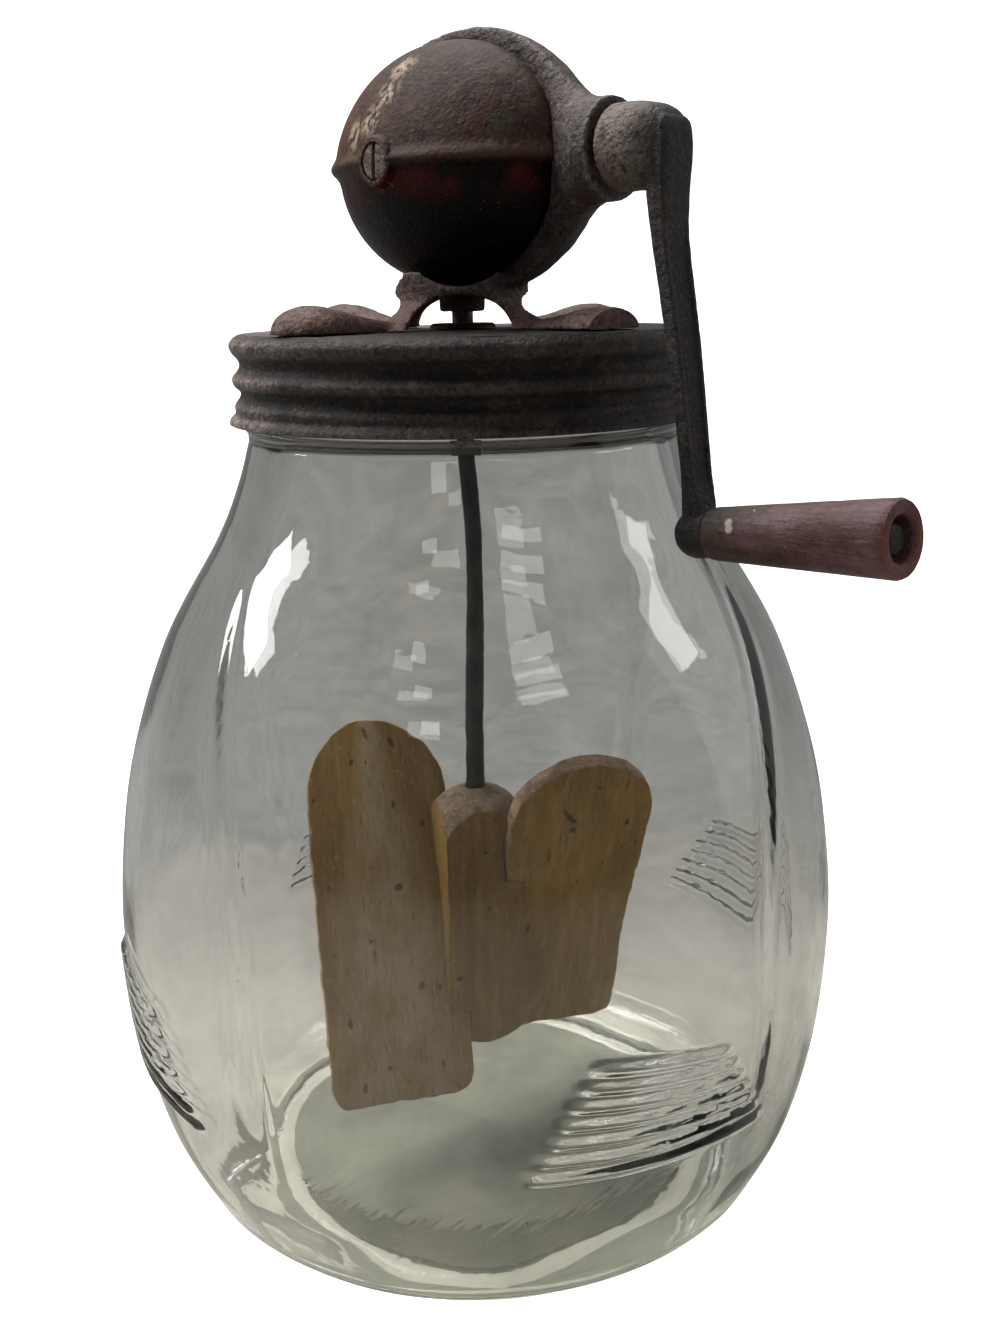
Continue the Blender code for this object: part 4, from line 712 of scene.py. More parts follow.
def rounded(corner: Point2, start: Point2, end: Point2, radius: float, steps: int = 4) -> list[Point2]:
    """Rounds one corner of a profile.

    Args:
        corner: The sharp corner.
        start: The point before it.
        end: The point after it.
        radius: How far the rounding reaches along each side.
        steps: Straight steps in the rounding.

    Returns:
        The points that take the corner's place.
    """
    middle = Vector(corner)
    first = middle + (Vector(start) - middle).normalized() * radius
    last = middle + (Vector(end) - middle).normalized() * radius
    run = []
    for step in range(steps + 1):
        share = step / steps
        run.append(tuple(first * (1 - share) ** 2 + middle * 2 * share * (1 - share) + last * share ** 2))
    return run


def softened(profile: Sequence[Point2], radius: float, closed: bool = False) -> list[Point2]:
    """Rounds every corner of a profile that isn't on the axis.

    Args:
        profile: Points of radius and height.
        radius: How far each rounding reaches.
        closed: Whether the last point joins the first.

    Returns:
        The new profile.
    """
    run: list[Point2] = []
    count = len(profile)
    for index, corner in enumerate(profile):
        ends = not closed and index in (0, count - 1)
        if ends or corner[0] < ON_AXIS:
            run.append(corner)
            continue
        run += rounded(corner, profile[index - 1], profile[(index + 1) % count], radius)
    return run


def ball(half_sizes: Sequence[float], centre: Sequence[float]) -> Shape:
    """Makes an ellipsoid with its poles along X.

    Args:
        half_sizes: Half its size along each axis.
        centre: Its centre.

    Returns:
        The mesh.
    """
    shape = bmesh.new()
    bmesh.ops.create_uvsphere(shape, u_segments=64, v_segments=32, radius=1.0)
    shape.transform(Matrix.Translation(centre) @ Matrix.Diagonal((*half_sizes, 1.0)) @ ALONG_X)
    return shape


def bar(radius: float, low: float, high: float, place: Matrix | None = None) -> Shape:
    """Makes a plain cylinder about Z, then puts it in place.

    Args:
        radius: Its radius.
        low: Height of its foot.
        high: Height of its top.
        place: Where it goes.

    Returns:
        The mesh.
    """
    shape = turned([(0, low), (radius, low), (radius, high), (0, high)], 48)
    if place:
        shape.transform(place)
    return shape


def brick(low: Sequence[float], high: Sequence[float]) -> Shape:
    """Makes a box between two corners.

    Args:
        low: Its lowest corner.
        high: Its highest corner.

    Returns:
        The mesh.
    """
    shape = bmesh.new()
    bmesh.ops.create_cube(shape, size=1.0)
    size = Vector(high) - Vector(low)
    shape.transform(Matrix.Translation((Vector(low) + Vector(high)) / 2) @ Matrix.Diagonal((*size, 1.0)))
    return shape


def to_object(name: str, shape: Shape) -> Item:
    """Turns a mesh under construction into an object.

    Args:
        name: The object's name.
        shape: The mesh; it is used up.

    Returns:
        The object.
    """
    mesh = bpy.data.meshes.new(name)
    shape.to_mesh(mesh)
    shape.free()
    item = bpy.data.objects.new(name, mesh)
    bpy.context.scene.collection.objects.link(item)
    return item


def apply_modifiers(item: Item) -> None:
    """Bakes an object's modifiers into its mesh.

    Args:
        item: The object.
    """
    graph = bpy.context.evaluated_depsgraph_get()
    mesh = bpy.data.meshes.new_from_object(item.evaluated_get(graph), depsgraph=graph)
    item.modifiers.clear()
    item.data = mesh


def carve(item: Item, others: Iterable[tuple[Shape, str]]) -> None:
    """Cuts, joins or intersects other shapes, one after another, and bakes the result.

    Args:
        item: The object.
        others: Each other shape with the name of its boolean step.
    """
    helpers = []
    for index, (shape, how) in enumerate(others):
        helper = to_object(f"{item.name}_helper_{index}", shape)
        helpers.append(helper)
        step = item.modifiers.new(f"step_{index}", "BOOLEAN")
        step.operation = how
        step.object = helper
        step.solver = "EXACT"
    apply_modifiers(item)
    for helper in helpers:
        bpy.data.objects.remove(helper, do_unlink=True)


def carved(shape: Shape, steps: Iterable[tuple[Shape, str]]) -> Shape:
    """Gives a shape after its own cuts.

    Args:
        shape: The closed mesh; it is used up.
        steps: Each other shape with the name of its boolean step.

    Returns:
        The cut mesh.
    """
    keep = to_object("carved_shape", shape)
    carve(keep, steps)
    result = bmesh.new()
    result.from_mesh(keep.data)
    bpy.data.objects.remove(keep, do_unlink=True)
    return result


def soften_edges(item: Item, width: float, segments: int = 2, angle: float = 35.0) -> None:
    """Rounds an object's sharp edges.

    Args:
        item: The object.
        width: Width of the rounding in metres.
        segments: Steps in the rounding.
        angle: Edges sharper than this many degrees are rounded.
    """
    bevel = item.modifiers.new("soft_edges", "BEVEL")
    bevel.width = width
    bevel.segments = segments
    bevel.limit_method = "ANGLE"
    bevel.angle_limit = math.radians(angle)
    apply_modifiers(item)


def recast(item: Item, cell: float, passes: int) -> None:
    """Remeshes an object and smooths it, so that its parts run together as in a casting.

    Args:
        item: The object.
        cell: Size of the cells in metres.
        passes: How often it is smoothed.
    """
    cells = item.modifiers.new("cells", "REMESH")
    cells.mode = "VOXEL"
    cells.voxel_size = cell
    calm = item.modifiers.new("calm", "SMOOTH")
    calm.factor = 0.5
    calm.iterations = passes
    apply_modifiers(item)


def show(item: Item, body: Body, materials: Sequence[Material],
         nodes: Sequence[str], angle: float = 40.0) -> None:
    """Dresses a finished piece and puts it on its body.

    Args:
        item: The piece, in the frame's own place.
        body: The group that it moves with.
        materials: Its materials, in the order of its faces' numbers.
        nodes: The CAD nodes that it stands for.
        angle: Edges sharper than this many degrees stay sharp.
    """
    item.data.materials.clear()
    for material in materials:
        item.data.materials.append(material)
    item.data.shade_smooth()
    item.data.set_sharp_from_angle(angle=math.radians(angle))
    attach(item, body.value)
    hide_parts(*nodes)
    LOG.info("%s: %d faces", item.name, len(item.data.polygons))


def give_values(item: Item, name: str, values: Iterable[float]) -> None:
    """Stores one number at each point of a mesh."""
    item.data.attributes.new(name, "FLOAT", "POINT").data.foreach_set("value", list(values))


def give_vectors(item: Item, name: str, values: Iterable[Sequence[float]]) -> None:
    """Stores one vector at each point of a mesh."""
    flat = [part for value in values for part in value]
    item.data.attributes.new(name, "FLOAT_VECTOR", "POINT").data.foreach_set("vector", flat)


def evenly(points: Sequence[Sequence[float]], gap: float) -> list[tuple[float, ...]]:
    """Spaces the points of a run evenly along it.

    Args:
        points: The run.
        gap: Distance from point to point, in metres.

    Returns:
        The new points, both ends included.
    """
    run = [tuple(points[0])]
    left = gap
    for start, end in zip(points, points[1:]):
        near, far = Vector(start), Vector(end)
        length = (far - near).length
        gone = 0.0
        while length - gone > left:
            gone += left
            left = gap
            run.append(tuple(near.lerp(far, gone / length)))
        left -= length - gone
    run.append(tuple(points[-1]))
    return run


def roughen(item: Item, cell: float, depth: float) -> None:
    """Makes a cast surface uneven.

    Args:
        item: The piece.
        cell: Width of the unevenness in millimetres.
        depth: Its depth in millimetres.
    """
    normals = [vertex.normal.copy() for vertex in item.data.vertices]
    for vertex, normal in zip(item.data.vertices, normals):
        vertex.co += normal * (noise.noise(vertex.co / (cell * MM)) * depth * MM)


# Sub-assemblies


def finish(kind: type, *settings: object) -> Material:
    """Gives a field that builds its own finish.

    Args:
        kind: The finish's class.
        settings: Its fields, where they differ from the usual.

    Returns:
        The field.
    """
    return field(default_factory=lambda: kind(*settings).material())


@dataclass
class Finishes:
    """Every finish on the churn, made once and shared."""

    glass: Material = finish(JarGlass)
    casting: Material = finish(CastIron)
    crank: Material = finish(CastIron, "oiled_cast_iron", "#221f1f", "#504a49", "#43332b", "#7d7674",
                             "#0b0a0a", 1.0, 0.6, 0.3, 0.0, True)
    cover: Material = finish(CoverPaint)
    lid: Material = finish(LidPlate)
    wood: Material = finish(DasherWood)
    # Near blade: the same maple in darker colours, painted shade that makes up for the stronger light it gets
    # than the far blade, plus a grey bloom.
    bloomed_wood_painted_shade: Material = finish(DasherWood, "bloomed_maple", "#785a24", "#573f18", "#8a6c36", "#91866f",
                                    0.55, 0.0261)
    hub_wood: Material = finish(DasherWood, "stained_maple_block", "#7a5a1e", "#553d14", "#8f7034")
    end_grain: Material = finish(EndGrain)
    dome_grain: Material = finish(EndGrain, "worn_maple_dome", "#76624f", "#4a3b2e", "#a4988a")
    bright: Material = finish(Metal, "drawn_steel", "#77716a", "#3d3631", 0.38, 0.9)
    black: Material = finish(Metal, "oil_blacked_steel", "#20211f", "#0c0c0b", 0.50, 0.3)
    brass: Material = finish(Metal, "turned_brass", "#4f4028", "#201811", 0.50, 0.8)
    seal: Material = finish(SealRubber)


@dataclass
class Heights:
    """Heights that the sub-assemblies share, in metres above the jar's base."""

    rim: float = 0.2340
    lid_underside: float = 0.2370
    lid_top: float = 0.2382
    axis: float = 0.2776
    grip: float = 0.1936

    def on_axle(self) -> Matrix:
        """Gives the place of the crank's axle, with +Z along it."""
        return Matrix.Translation((0, 0, self.axis)) @ ALONG_X


@dataclass
class GlassJar:
    """The jar: a blown body with two framed panels, four finger grips and a threaded neck."""

    finishes: Finishes
    heights: Heights
    belly_radius: float = 0.0986
    neck_radius: float = 0.0556
    neck_height: float = 0.2140
    mouth_radius: float = 0.0512
    wall: float = 0.0042
    floor: float = 0.0065
    bearing_radius: float = 0.0705
    groove: float = 0.0060
    groove_depth: float = 0.0008
    plain_foot: float = 0.0040
    finish_radius: float = 0.0540
    thread_rise: float = 0.0018
    thread_pitch: float = 0.0070
    thread_turns: float = 1.2
    crease_depth: float = 0.0007
    crease_width: float = 0.0017
    ridge_place: float = 0.0048
    ridge_width: float = 0.0034
    panel_centre: float = -37.0
    panel_half: float = 37.4
    panel_spread: float = 11.0
    panel_foot: float = 0.055
    panel_top: float = 0.186
    grip_centre: float = -17.2
    grip_bars: int = 7
    grip_rise: float = 0.0014
    grip_foot: float = 0.0518
    grip_height: float = 0.0261
    grip_half: float = 19.6
    grip_taper: float = 8.9
    steps: int = 320

    SHOULDER = ((1.000, 0.000), (0.940, 0.090), (0.870, 0.245), (0.750, 0.600), (0.620, 0.835),
                (0.500, 0.950), (0.385, 1.000), (0.260, 0.965), (0.140, 0.835), (0.050, 0.640))

    def wall_points(self) -> list[Point2]:
        """Gives the outer wall from the neck down to the heel.

        Returns:
            Points of radius and height.
        """
        swell = self.belly_radius - self.neck_radius
        run = smooth_run([(out, up) for up, out in self.SHOULDER], 12)
        return [(self.neck_radius + swell * out, self.neck_height * up) for out, up in run]

    def relief(self, angle: float, height: float) -> float:
        """Gives how far the outer wall stands out at a place, from its panels, grips and waviness.

        Args:
            angle: Angle round the jar.
            height: Height above the base.

        Returns:
            The rise in metres.
        """
        turn = math.degrees(angle)
        rise = self.grips(turn, height)
        half = self.panel_half + self.panel_spread * max(0.0, (height / MM - 87) / 68) ** 1.6
        span = clamp((height - self.panel_foot) / 0.016) * clamp((self.panel_top - height) / 0.030)
        for centre in (self.panel_centre, self.panel_centre + 180):
            for sign in (-1, 1):
                off = sign * ((turn - centre - sign * half + 180) % 360 - 180)
                arc = math.radians(off) * self.belly_radius
                rise -= self.crease_depth * span * math.exp(-(arc / self.crease_width) ** 2)
                off_ridge = (arc - self.ridge_place) / self.ridge_width
                rise += self.crease_depth * 0.9 * span * math.exp(-off_ridge ** 2)
        wave, fine = noise_round(angle, height, 2.2, 22), noise_round(angle, height, 6.5, 38)
        calm = clamp((self.neck_height - height) / 0.02)
        return rise + (wave * 0.00040 + fine * 0.00010) * calm

    def grips(self, turn: float, height: float) -> float:
        """Gives the rise of the finger grips: bars in four tapering blocks, each a little lower at its right.

        Args:
            turn: Degrees round the jar.
            height: Height above the base.

        Returns:
            The rise in metres.
        """
        off = (turn - self.grip_centre + 45) % 90 - 45
        share = (height - self.grip_foot + 0.00008 * off) / (self.grip_height - 0.00019 * off)
        last = self.grip_bars - 1
        nearest = min(last, max(0, round(share * last)))
        level = math.exp(-abs((share * last - nearest) / 0.30) ** 3)
        return self.grip_rise * level * clamp(self.grip_half - self.grip_taper * nearest / last - abs(off))

    def thread(self, angle: float, height: float) -> float:
        """Gives the rise of the thread that winds up the neck.

        Args:
            angle: Angle round the jar.
            height: Height above the base.

        Returns:
            The rise in metres.
        """
        rise = 0.0
        for lap in (0, 1):
            share = (angle % FULL_TURN) / FULL_TURN + lap
            if share > self.thread_turns:
                continue
            fade = min(1.0, 0.1 + 7 * min(share, self.thread_turns - share))
            off = (height - self.neck_height - 0.0050 - self.thread_pitch * share) / 0.0013
            rise = max(rise, self.thread_rise * fade * math.exp(-off ** 4))
        return rise

    def inner_points(self, outer: list[Point2]) -> list[Point2]:
        """Gives the inner wall from the floor up, by the wall's thickness inside the outer one.

        Args:
            outer: The outer wall's points.

        Returns:
            Points of radius and height.
        """
        inner = []
        for before, point, after in zip(outer, outer[1:], outer[2:]):
            along = (Vector(after) - Vector(before)).normalized()
            inward = Vector((along.y, -along.x))
            spot = Vector(point) + (inward if inward.x < 0 else -inward) * self.wall
            inner.append((spot.x, spot.y))
        low = self.floor * 1.9
        return [point for point in reversed(inner) if point[1] > low and point[0] > self.mouth_radius]

    def build(self) -> None:
        """Builds the jar as one closed wall, inside and outside."""
        outer = self.wall_points()
        groove_out = self.bearing_radius - 0.0045
        groove_in = groove_out - self.groove
        floor = [(0.0, self.floor + 0.0006), (0.030, self.floor + 0.0003), (groove_in, self.floor)]
        floor += smooth_run([(groove_in, self.floor), (0.0728, self.floor - 0.0003),
                             (0.0766, self.floor + 0.0008), (0.0789, self.floor + 0.0036)], 5)[1:]
        inside = floor + self.inner_points(outer) + [(self.mouth_radius, self.neck_height)]
        rim = self.heights.rim
        lip = softened([(self.mouth_radius, self.neck_height), (self.mouth_radius, rim),
                        (self.finish_radius, rim),
                        (self.finish_radius, self.neck_height + 0.004)], 0.0012)[1:-1]
        neck = [(self.finish_radius, rim - 0.0015 - 0.0005 * step) for step in range(32)]
        bead = smooth_run([(self.finish_radius, self.neck_height + 0.0032),
                           (0.0568, self.neck_height + 0.0026), (0.0572, self.neck_height + 0.0012),
                           (0.0563, self.neck_height - 0.0002)], 4)
        start = evenly([point for point in outer if point[1] < self.neck_height - 0.0014], 0.0009)
        bearing = self.bearing_radius
        heel = smooth_run([start[-1], (bearing + 0.0042, 0.0034), (bearing + 0.0010, 0.0006),
                           (bearing - 0.0008, 0.0)], 4)[1:]
        base = [(groove_out, 0.0), (groove_out - 0.0010, self.groove_depth),
                (groove_in + 0.0010, self.groove_depth), (groove_in, 0.0), (0.03, 0.0), (0.0, 0.0)]
        rings = [ring_of(*point, self.steps, self.inner_wave) for point in inside + lip]
        rings += [ring_of(*point, self.steps, self.thread) for point in neck]
        rings += [ring_of(*point, self.steps, self.relief if point[1] > self.plain_foot else None)
                  for point in bead + start + heel + base]
        jar = to_object("glass_jar", skin_rings(rings, capped=False))
        show(jar, Body.JAR, [self.finishes.glass], ["jar"], 60)

    def inner_wave(self, angle: float, height: float) -> float:
        """Gives the inner wall's unevenness, which bends what is seen through it.

        Args:
            angle: Angle round the jar.
            height: Height above the base.

        Returns:
            The rise in metres.
        """
        if height > self.neck_height or height < self.floor + 0.006:
            return 0.0
        return noise_round(angle, height, 3.1, 26, (7, 0, 0)) * 0.0006


@dataclass
class ScrewLid:
    """The pressed lid with three rolled beads."""

    finishes: Finishes
    heights: Heights
    radius: float = 0.0600
    sheet: float = 0.0012
    skirt: float = 0.0220
    bead_depth: float = 0.0023
    flare: float = 0.0010
    hole_radius: float = 0.0058
    steps: int = 256

    SKIRT = ((0.000, 1.35), (0.030, 0.55), (0.110, 0.00), (0.200, 0.20), (0.270, 0.75), (0.335, 0.98),
             (0.400, 0.72), (0.480, 0.10), (0.560, 0.25), (0.620, 0.85), (0.665, 1.00), (0.715, 0.80),
             (0.790, 0.30), (0.880, 0.30), (0.940, -0.25), (0.985, -0.435))

    def dent(self, angle: float, height: float) -> float:
        """Gives the lid's small dents and waves.

        Args:
            angle: Angle round the lid.
            height: Height above the base.

        Returns:
            The rise in metres.
        """
        fine = noise_round(angle, height, 9, 200, (0, 0, 5))
        return noise_round(angle, height, 2.6, 60) * 0.00030 + fine * 0.00016 - 0.0002

    def build(self) -> None:
        """Builds the lid's sheet, outside and inside, with a rolled lower edge."""
        top, under = self.heights.lid_top, self.heights.lid_underside
        run = smooth_run([(self.radius - self.bead_depth * deep, top - self.skirt * fall)
                          for fall, deep in self.SKIRT], 6)
        curl = smooth_run([run[-1], (self.radius + self.flare * 0.9, top - self.skirt * 0.995),
                           (self.radius, top - self.skirt),
                           (self.radius - self.sheet, top - self.skirt + 0.0003)], 3)[1:]
        inside = [(radius - self.sheet, height) for radius, height in reversed(run[6:-4])
                  if height < under - 0.0002]
        corner = self.radius - self.bead_depth * 1.35
        panel = [(corner - self.sheet, under), (self.hole_radius, under), (self.hole_radius, top),
                 (0.0520, top), (0.0535, top - 0.0003), (0.0548, top - 0.0003), (corner - 0.0008, top)]
        rings, wear = [], []
        for index, (radius, height) in enumerate(run + curl + inside + panel):
            outer = index < len(run) + len(curl)
            rings.append(ring_of(radius, height, self.steps, self.dent if outer and index > 3 else None))
            crest = (radius - (self.radius - self.bead_depth)) / self.bead_depth
            wear += [clamp(crest) if outer else 0.55] * self.steps
        lid = to_object("pressed_lid", skin_rings(rings, closed=True))
        give_values(lid, "wear", wear)
        show(lid, Body.LID, [self.finishes.lid], ["lid_cap"], 55)


@dataclass
class GearHead:
    """The cast frame on its four feet, the domed cover and the cover's slotted screw."""

    finishes: Finishes
    heights: Heights
    half_length: float = 0.0378
    half_height: float = 0.0314
    back: float = 0.0285
    lip: float = 0.0016
    wall: float = 0.0030
    seam: float = -0.0010
    snout_face: float = 0.0520
    snout_radius: float = 0.0105
    waist: float = 0.0172
    skirt_reach: float = 0.0300
    skirt_wall: float = 0.0036
    seat_share: float = 0.87
    spindle_boss: float = 0.0058
    arch_width: float = 0.0128
    arch_height: float = 0.0086
    scallop_height: float = 0.0100
    foot_reach: float = 0.0582
    foot_length: float = 0.0400
    foot_width: float = 0.0092
    cover_length: float = 0.0356
    cover_height: float = 0.0288
    cover_depth: float = 0.0240
    cover_wall: float = 0.0015
    boss_radius: float = 0.0060
    axle_bore: float = 0.0043
    spindle_hole: float = 0.0030
    front_cut: float = 0.0290
    snout_root: float = 0.0175
    boss_bottom: float = 0.0044
    boss_drop: float = 0.0247
    well_radius: float = 0.0044
    screw_radius: float = 0.0016
    head_radius: float = 0.0041
    head_height: float = 0.0022
    slot_half: float = 0.0006
    slot_turn: float = math.radians(4)
    gap: float = 0.0003
    cell: float = 0.0007
    quick_cell: float = 0.0012

    SECTIONS = ((0.16, 0.990, 0.985, 0.00), (0.30, 0.945, 0.925, 0.00), (0.43, 0.865, 0.840, 0.00),
                (0.55, 0.745, 0.720, 0.05), (0.65, 0.605, 0.590, 0.18), (0.74, 0.490, 0.500, 0.42),
                (0.83, 0.400, 0.430, 0.72), (0.92, 0.360, 0.396, 0.95), (1.00, 0.360, 0.396, 1.00))
    FOOT = ((0.000, 0.00), (0.022, 0.38), (0.080, 0.74), (0.160, 0.95), (0.250, 1.00),
            (0.380, 0.90), (0.530, 0.68), (0.700, 0.46), (0.860, 0.33), (1.000, 0.26))
    FOOT_HEIGHTS = (0.0050, 0.0052, 0.0064, 0.0066)
    SKIRT = ((1.00, 0.00), (0.55, 0.00), (0.36, 0.14), (0.17, 0.45), (0.00, 0.92))

    def section(self, x: float, tall: float, back: float, front: float, steps: int = 72) -> Ring:
        """Gives one section of the case across the crank's axis.

        Args:
            x: Its place along the axis.
            tall: Its half height.
            back: Its depth behind the seam.
            front: Its depth in front.
            steps: Points round it.

        Returns:
            The ring.
        """
        ring = []
        for step in range(steps):
            angle = FULL_TURN * step / steps
            depth = back if math.cos(angle) > 0 else front
            ring.append(Vector((x, depth * math.cos(angle), self.heights.axis + tall * math.sin(angle))))
        return ring

    def case(self) -> Shape:
        """Makes the outside of the case, with its snout.

        Returns:
            The mesh.
        """
        rows = [(-self.half_length, self.lip, self.lip, self.lip)]
        for step in range(1, 13):
            angle = QUARTER_TURN * step / 12
            rows.append((-self.half_length * math.cos(angle), self.half_height * math.sin(angle),
                         self.back * math.sin(angle), self.lip))
        most = self.snout_radius - self.lip
        right = [(self.snout_face * reach, self.half_height * tall, self.back * deep, self.lip + most * proud)
                 for reach, tall, deep, proud in self.SECTIONS]
        rows += smooth_run([rows[-1], *right], 4)[1:]
        return skin_rings([self.section(*row) for row in rows])

    def cover_point(self, angle: float, tilt: float, extra: float = 0.0, ridge: float = 1.0) -> Vector:
        """Gives a point on the cover.

        Args:
            angle: Angle round the seam.
            tilt: Angle from the seam up to the screw.
            extra: How far outside the cover.
            ridge: Share of the ridge that stands out.

        Returns:
            The point, in the frame's own place.
        """
        out = Vector((math.cos(tilt) * math.cos(angle), math.sin(tilt), math.cos(tilt) * math.sin(angle)))
        spot = Vector((out.x * (self.cover_length + extra), out.y * (self.cover_depth + extra),
                       out.z * (self.cover_height + extra)))
        step = 0.0009 / (1 + math.exp(-spot.z / 0.0009)) * math.exp(-(spot.z / 0.011) ** 2)
        spot += out * (math.exp(-(spot.z / 0.0019) ** 2) * 0.0017 + step) * ridge
        return Vector((spot.x, self.seam - spot.y, self.heights.axis + spot.z))

    def cover_room(self, extra: float) -> Shape:
        """Makes the cover's outside as a closed half, to leave room for it.

        Args:
            extra: How far outside the cover.

        Returns:
            The mesh.
        """
        rows, around = 26, 96
        rings = [[self.cover_point(FULL_TURN * step / around, QUARTER_TURN * row / rows, extra)
                  for step in range(around)] for row in range(rows)]
        return skin_rings(rings + [[self.cover_point(0, QUARTER_TURN, extra)]])

    def foot(self, index: int) -> Shape:
        """Makes one drop shaped foot.

        Args:
            index: Which of the four.

        Returns:
            The mesh.
        """
        run = smooth_run([(self.foot_width * wide, self.foot_reach - self.foot_length * along)
                          for along, wide in self.FOOT], 3)
        shape = turned(run + [(0, self.foot_reach - self.foot_length)], 40)
        turn = Matrix.Rotation(index * QUARTER_TURN, 4, "Z") @ ALONG_X
        low = Matrix.Translation((0, 0, self.heights.lid_top + self.gap))
        shape.transform(low @ turn @ Matrix.Diagonal((self.FOOT_HEIGHTS[index] / self.foot_width, 1, 1, 1)))
        return shape

    def pedestal(self, low: float) -> Shape:
        """Makes the skirt that flares down to the feet, closed at its top by the seat of the dome.

        Args:
            low: Height of its foot.

        Returns:
            The mesh.
        """
        height = self.heights.axis - self.cover_height * self.seat_share - low
        spread = self.skirt_reach - self.waist
        outer = smooth_run([(self.waist + spread * out, low + height * up) for up, out in self.SKIRT], 5)
        inner = [(radius - self.skirt_wall, level) for radius, level in reversed(outer[6:])]
        seat = self.heights.axis - self.cover_height
        inside = self.waist - 0.0020
        return turned(outer + inner + [(self.waist - self.skirt_wall, seat - 0.0020), (0.002, seat - 0.0020),
                                       (0.002, seat), (inside, seat), (inside, outer[0][1])], 72, closed=True)

    def arches(self, level: float, height: float, reach: float) -> list[tuple[Shape, str]]:
        """Makes two crossed, oval bars that cut four arches or scallops.

        Args:
            level: Height of the bars' middle.
            height: Half their height.
            reach: Half their length.

        Returns:
            Each bar with its cut.
        """
        cuts = []
        for index in range(2):
            turn = Matrix.Rotation(math.pi / 4 + index * QUARTER_TURN, 4, "Z") @ ALONG_X
            shape = bar(1.0, -1.0, 1.0)
            grow = Matrix.Diagonal((height, self.arch_width, reach, 1.0))
            shape.transform(Matrix.Translation((0, 0, level)) @ turn @ grow)
            cuts.append((shape, "DIFFERENCE"))
        return cuts

    def build_frame(self) -> None:
        """Builds the casting from overlapping shapes, cuts it, and lets its parts run together."""
        axis, low = self.heights.axis, self.heights.lid_top + self.gap
        item = to_object("cast_frame", self.case())
        wide = self.half_length * 2
        middle = axis - self.cover_height + self.scallop_height
        scallops = self.arches(middle, self.scallop_height, self.skirt_reach)
        half_sizes = (self.half_length - self.wall, self.back - self.wall, self.half_height - self.wall)
        end = brick((self.snout_root, -wide, low - wide), (wide, wide, axis + wide))
        steps = [
            (brick((-wide, -wide, low), (self.front_cut, self.seam, axis + wide)), "DIFFERENCE"),
            (carved(self.pedestal(low), scallops), "UNION"),
            (self.cover_room(self.gap), "DIFFERENCE"),
            (carved(ball(half_sizes, (0, 0, axis)), [(end, "DIFFERENCE")]), "DIFFERENCE"),
            *[(self.foot(index), "UNION") for index in range(4)],
            *self.arches(self.heights.lid_top, self.arch_height, self.skirt_reach * 1.6),
            (bar(self.spindle_boss, self.heights.lid_top + self.boss_bottom, axis - self.boss_drop), "UNION"),
            (brick((-0.2, -0.2, low - 0.1), (0.2, 0.2, low)), "DIFFERENCE"),
            (bar(self.spindle_hole, low - 0.01, axis - 0.02), "DIFFERENCE"),
            (bar(self.axle_bore, 0.0160, 0.0560, self.heights.on_axle()), "DIFFERENCE"),
        ]
        carve(item, steps)
        recast(item, self.cell, 3)
        roughen(item, 3.2, 0.16)
        for point in item.data.vertices:
            point.co.z = max(point.co.z, low)
            point.co.x = min(point.co.x, self.snout_face)
        show(item, Body.LID, [self.finishes.casting], ["gear_frame"], 70)

    def build_cover(self) -> None:
        """Builds the cover's shell with its ridge, its screw boss and its rim."""
        around, up = 200, 60
        outer, inner = [], []
        for row in range(up):
            tilt = QUARTER_TURN * row / up
            outer.append([self.swollen(FULL_TURN * step / around, tilt) for step in range(around)])
            inner.append([self.cover_point(FULL_TURN * step / around, tilt, -self.cover_wall, 0.0)
                          for step in range(around)])
        pole = self.swollen(0.0, QUARTER_TURN)
        rings = [[self.cover_point(0, QUARTER_TURN, -self.cover_wall, 0.0)]] + inner[::-1] + outer + [[pole]]
        item = to_object("domed_cover", skin_rings(rings, capped=False))
        wide = self.half_length * 2
        back = brick((-wide, self.seam - self.gap, 0), (wide, wide, self.heights.axis * 2))
        place = Matrix.Translation((0, self.seam, self.heights.axis)) @ FACING_FRONT
        face, foot = self.cover_depth + 0.0026, self.cover_depth - 0.0015
        boss = turned(softened([(0, face), (self.boss_radius * 0.93, face), (self.boss_radius * 1.12, foot),
                                (0, foot)], 0.0006), 64)
        boss.transform(place)
        well = bar(self.well_radius, self.cover_depth, face + 0.004, place)
        hole = bar(0.0019, self.cover_depth - 0.004, self.cover_depth + 0.004, place)
        axle = bar(self.axle_bore, self.snout_root, 0.0396, self.heights.on_axle())
        room = bar(0.0061, self.heights.lid_top, self.heights.axis - 0.0241)
        carve(item, [(back, "DIFFERENCE"), (boss, "UNION"), (well, "DIFFERENCE"), (hole, "DIFFERENCE"),
                     (axle, "DIFFERENCE"), (room, "DIFFERENCE")])
        show(item, Body.LID, [self.finishes.cover], ["gear_cover"], 35)

    def swollen(self, angle: float, tilt: float) -> Vector:
        """Gives a point on the cover with the gentle swelling that leads up to its boss.

        Args:
            angle: Angle round the seam.
            tilt: Angle from the seam up to the screw.

        Returns:
            The point.
        """
        point = self.cover_point(angle, tilt)
        off = math.hypot(point.x, point.z - self.heights.axis)
        point.y -= 0.0010 * math.exp(-(off / 0.0085) ** 2)
        return point

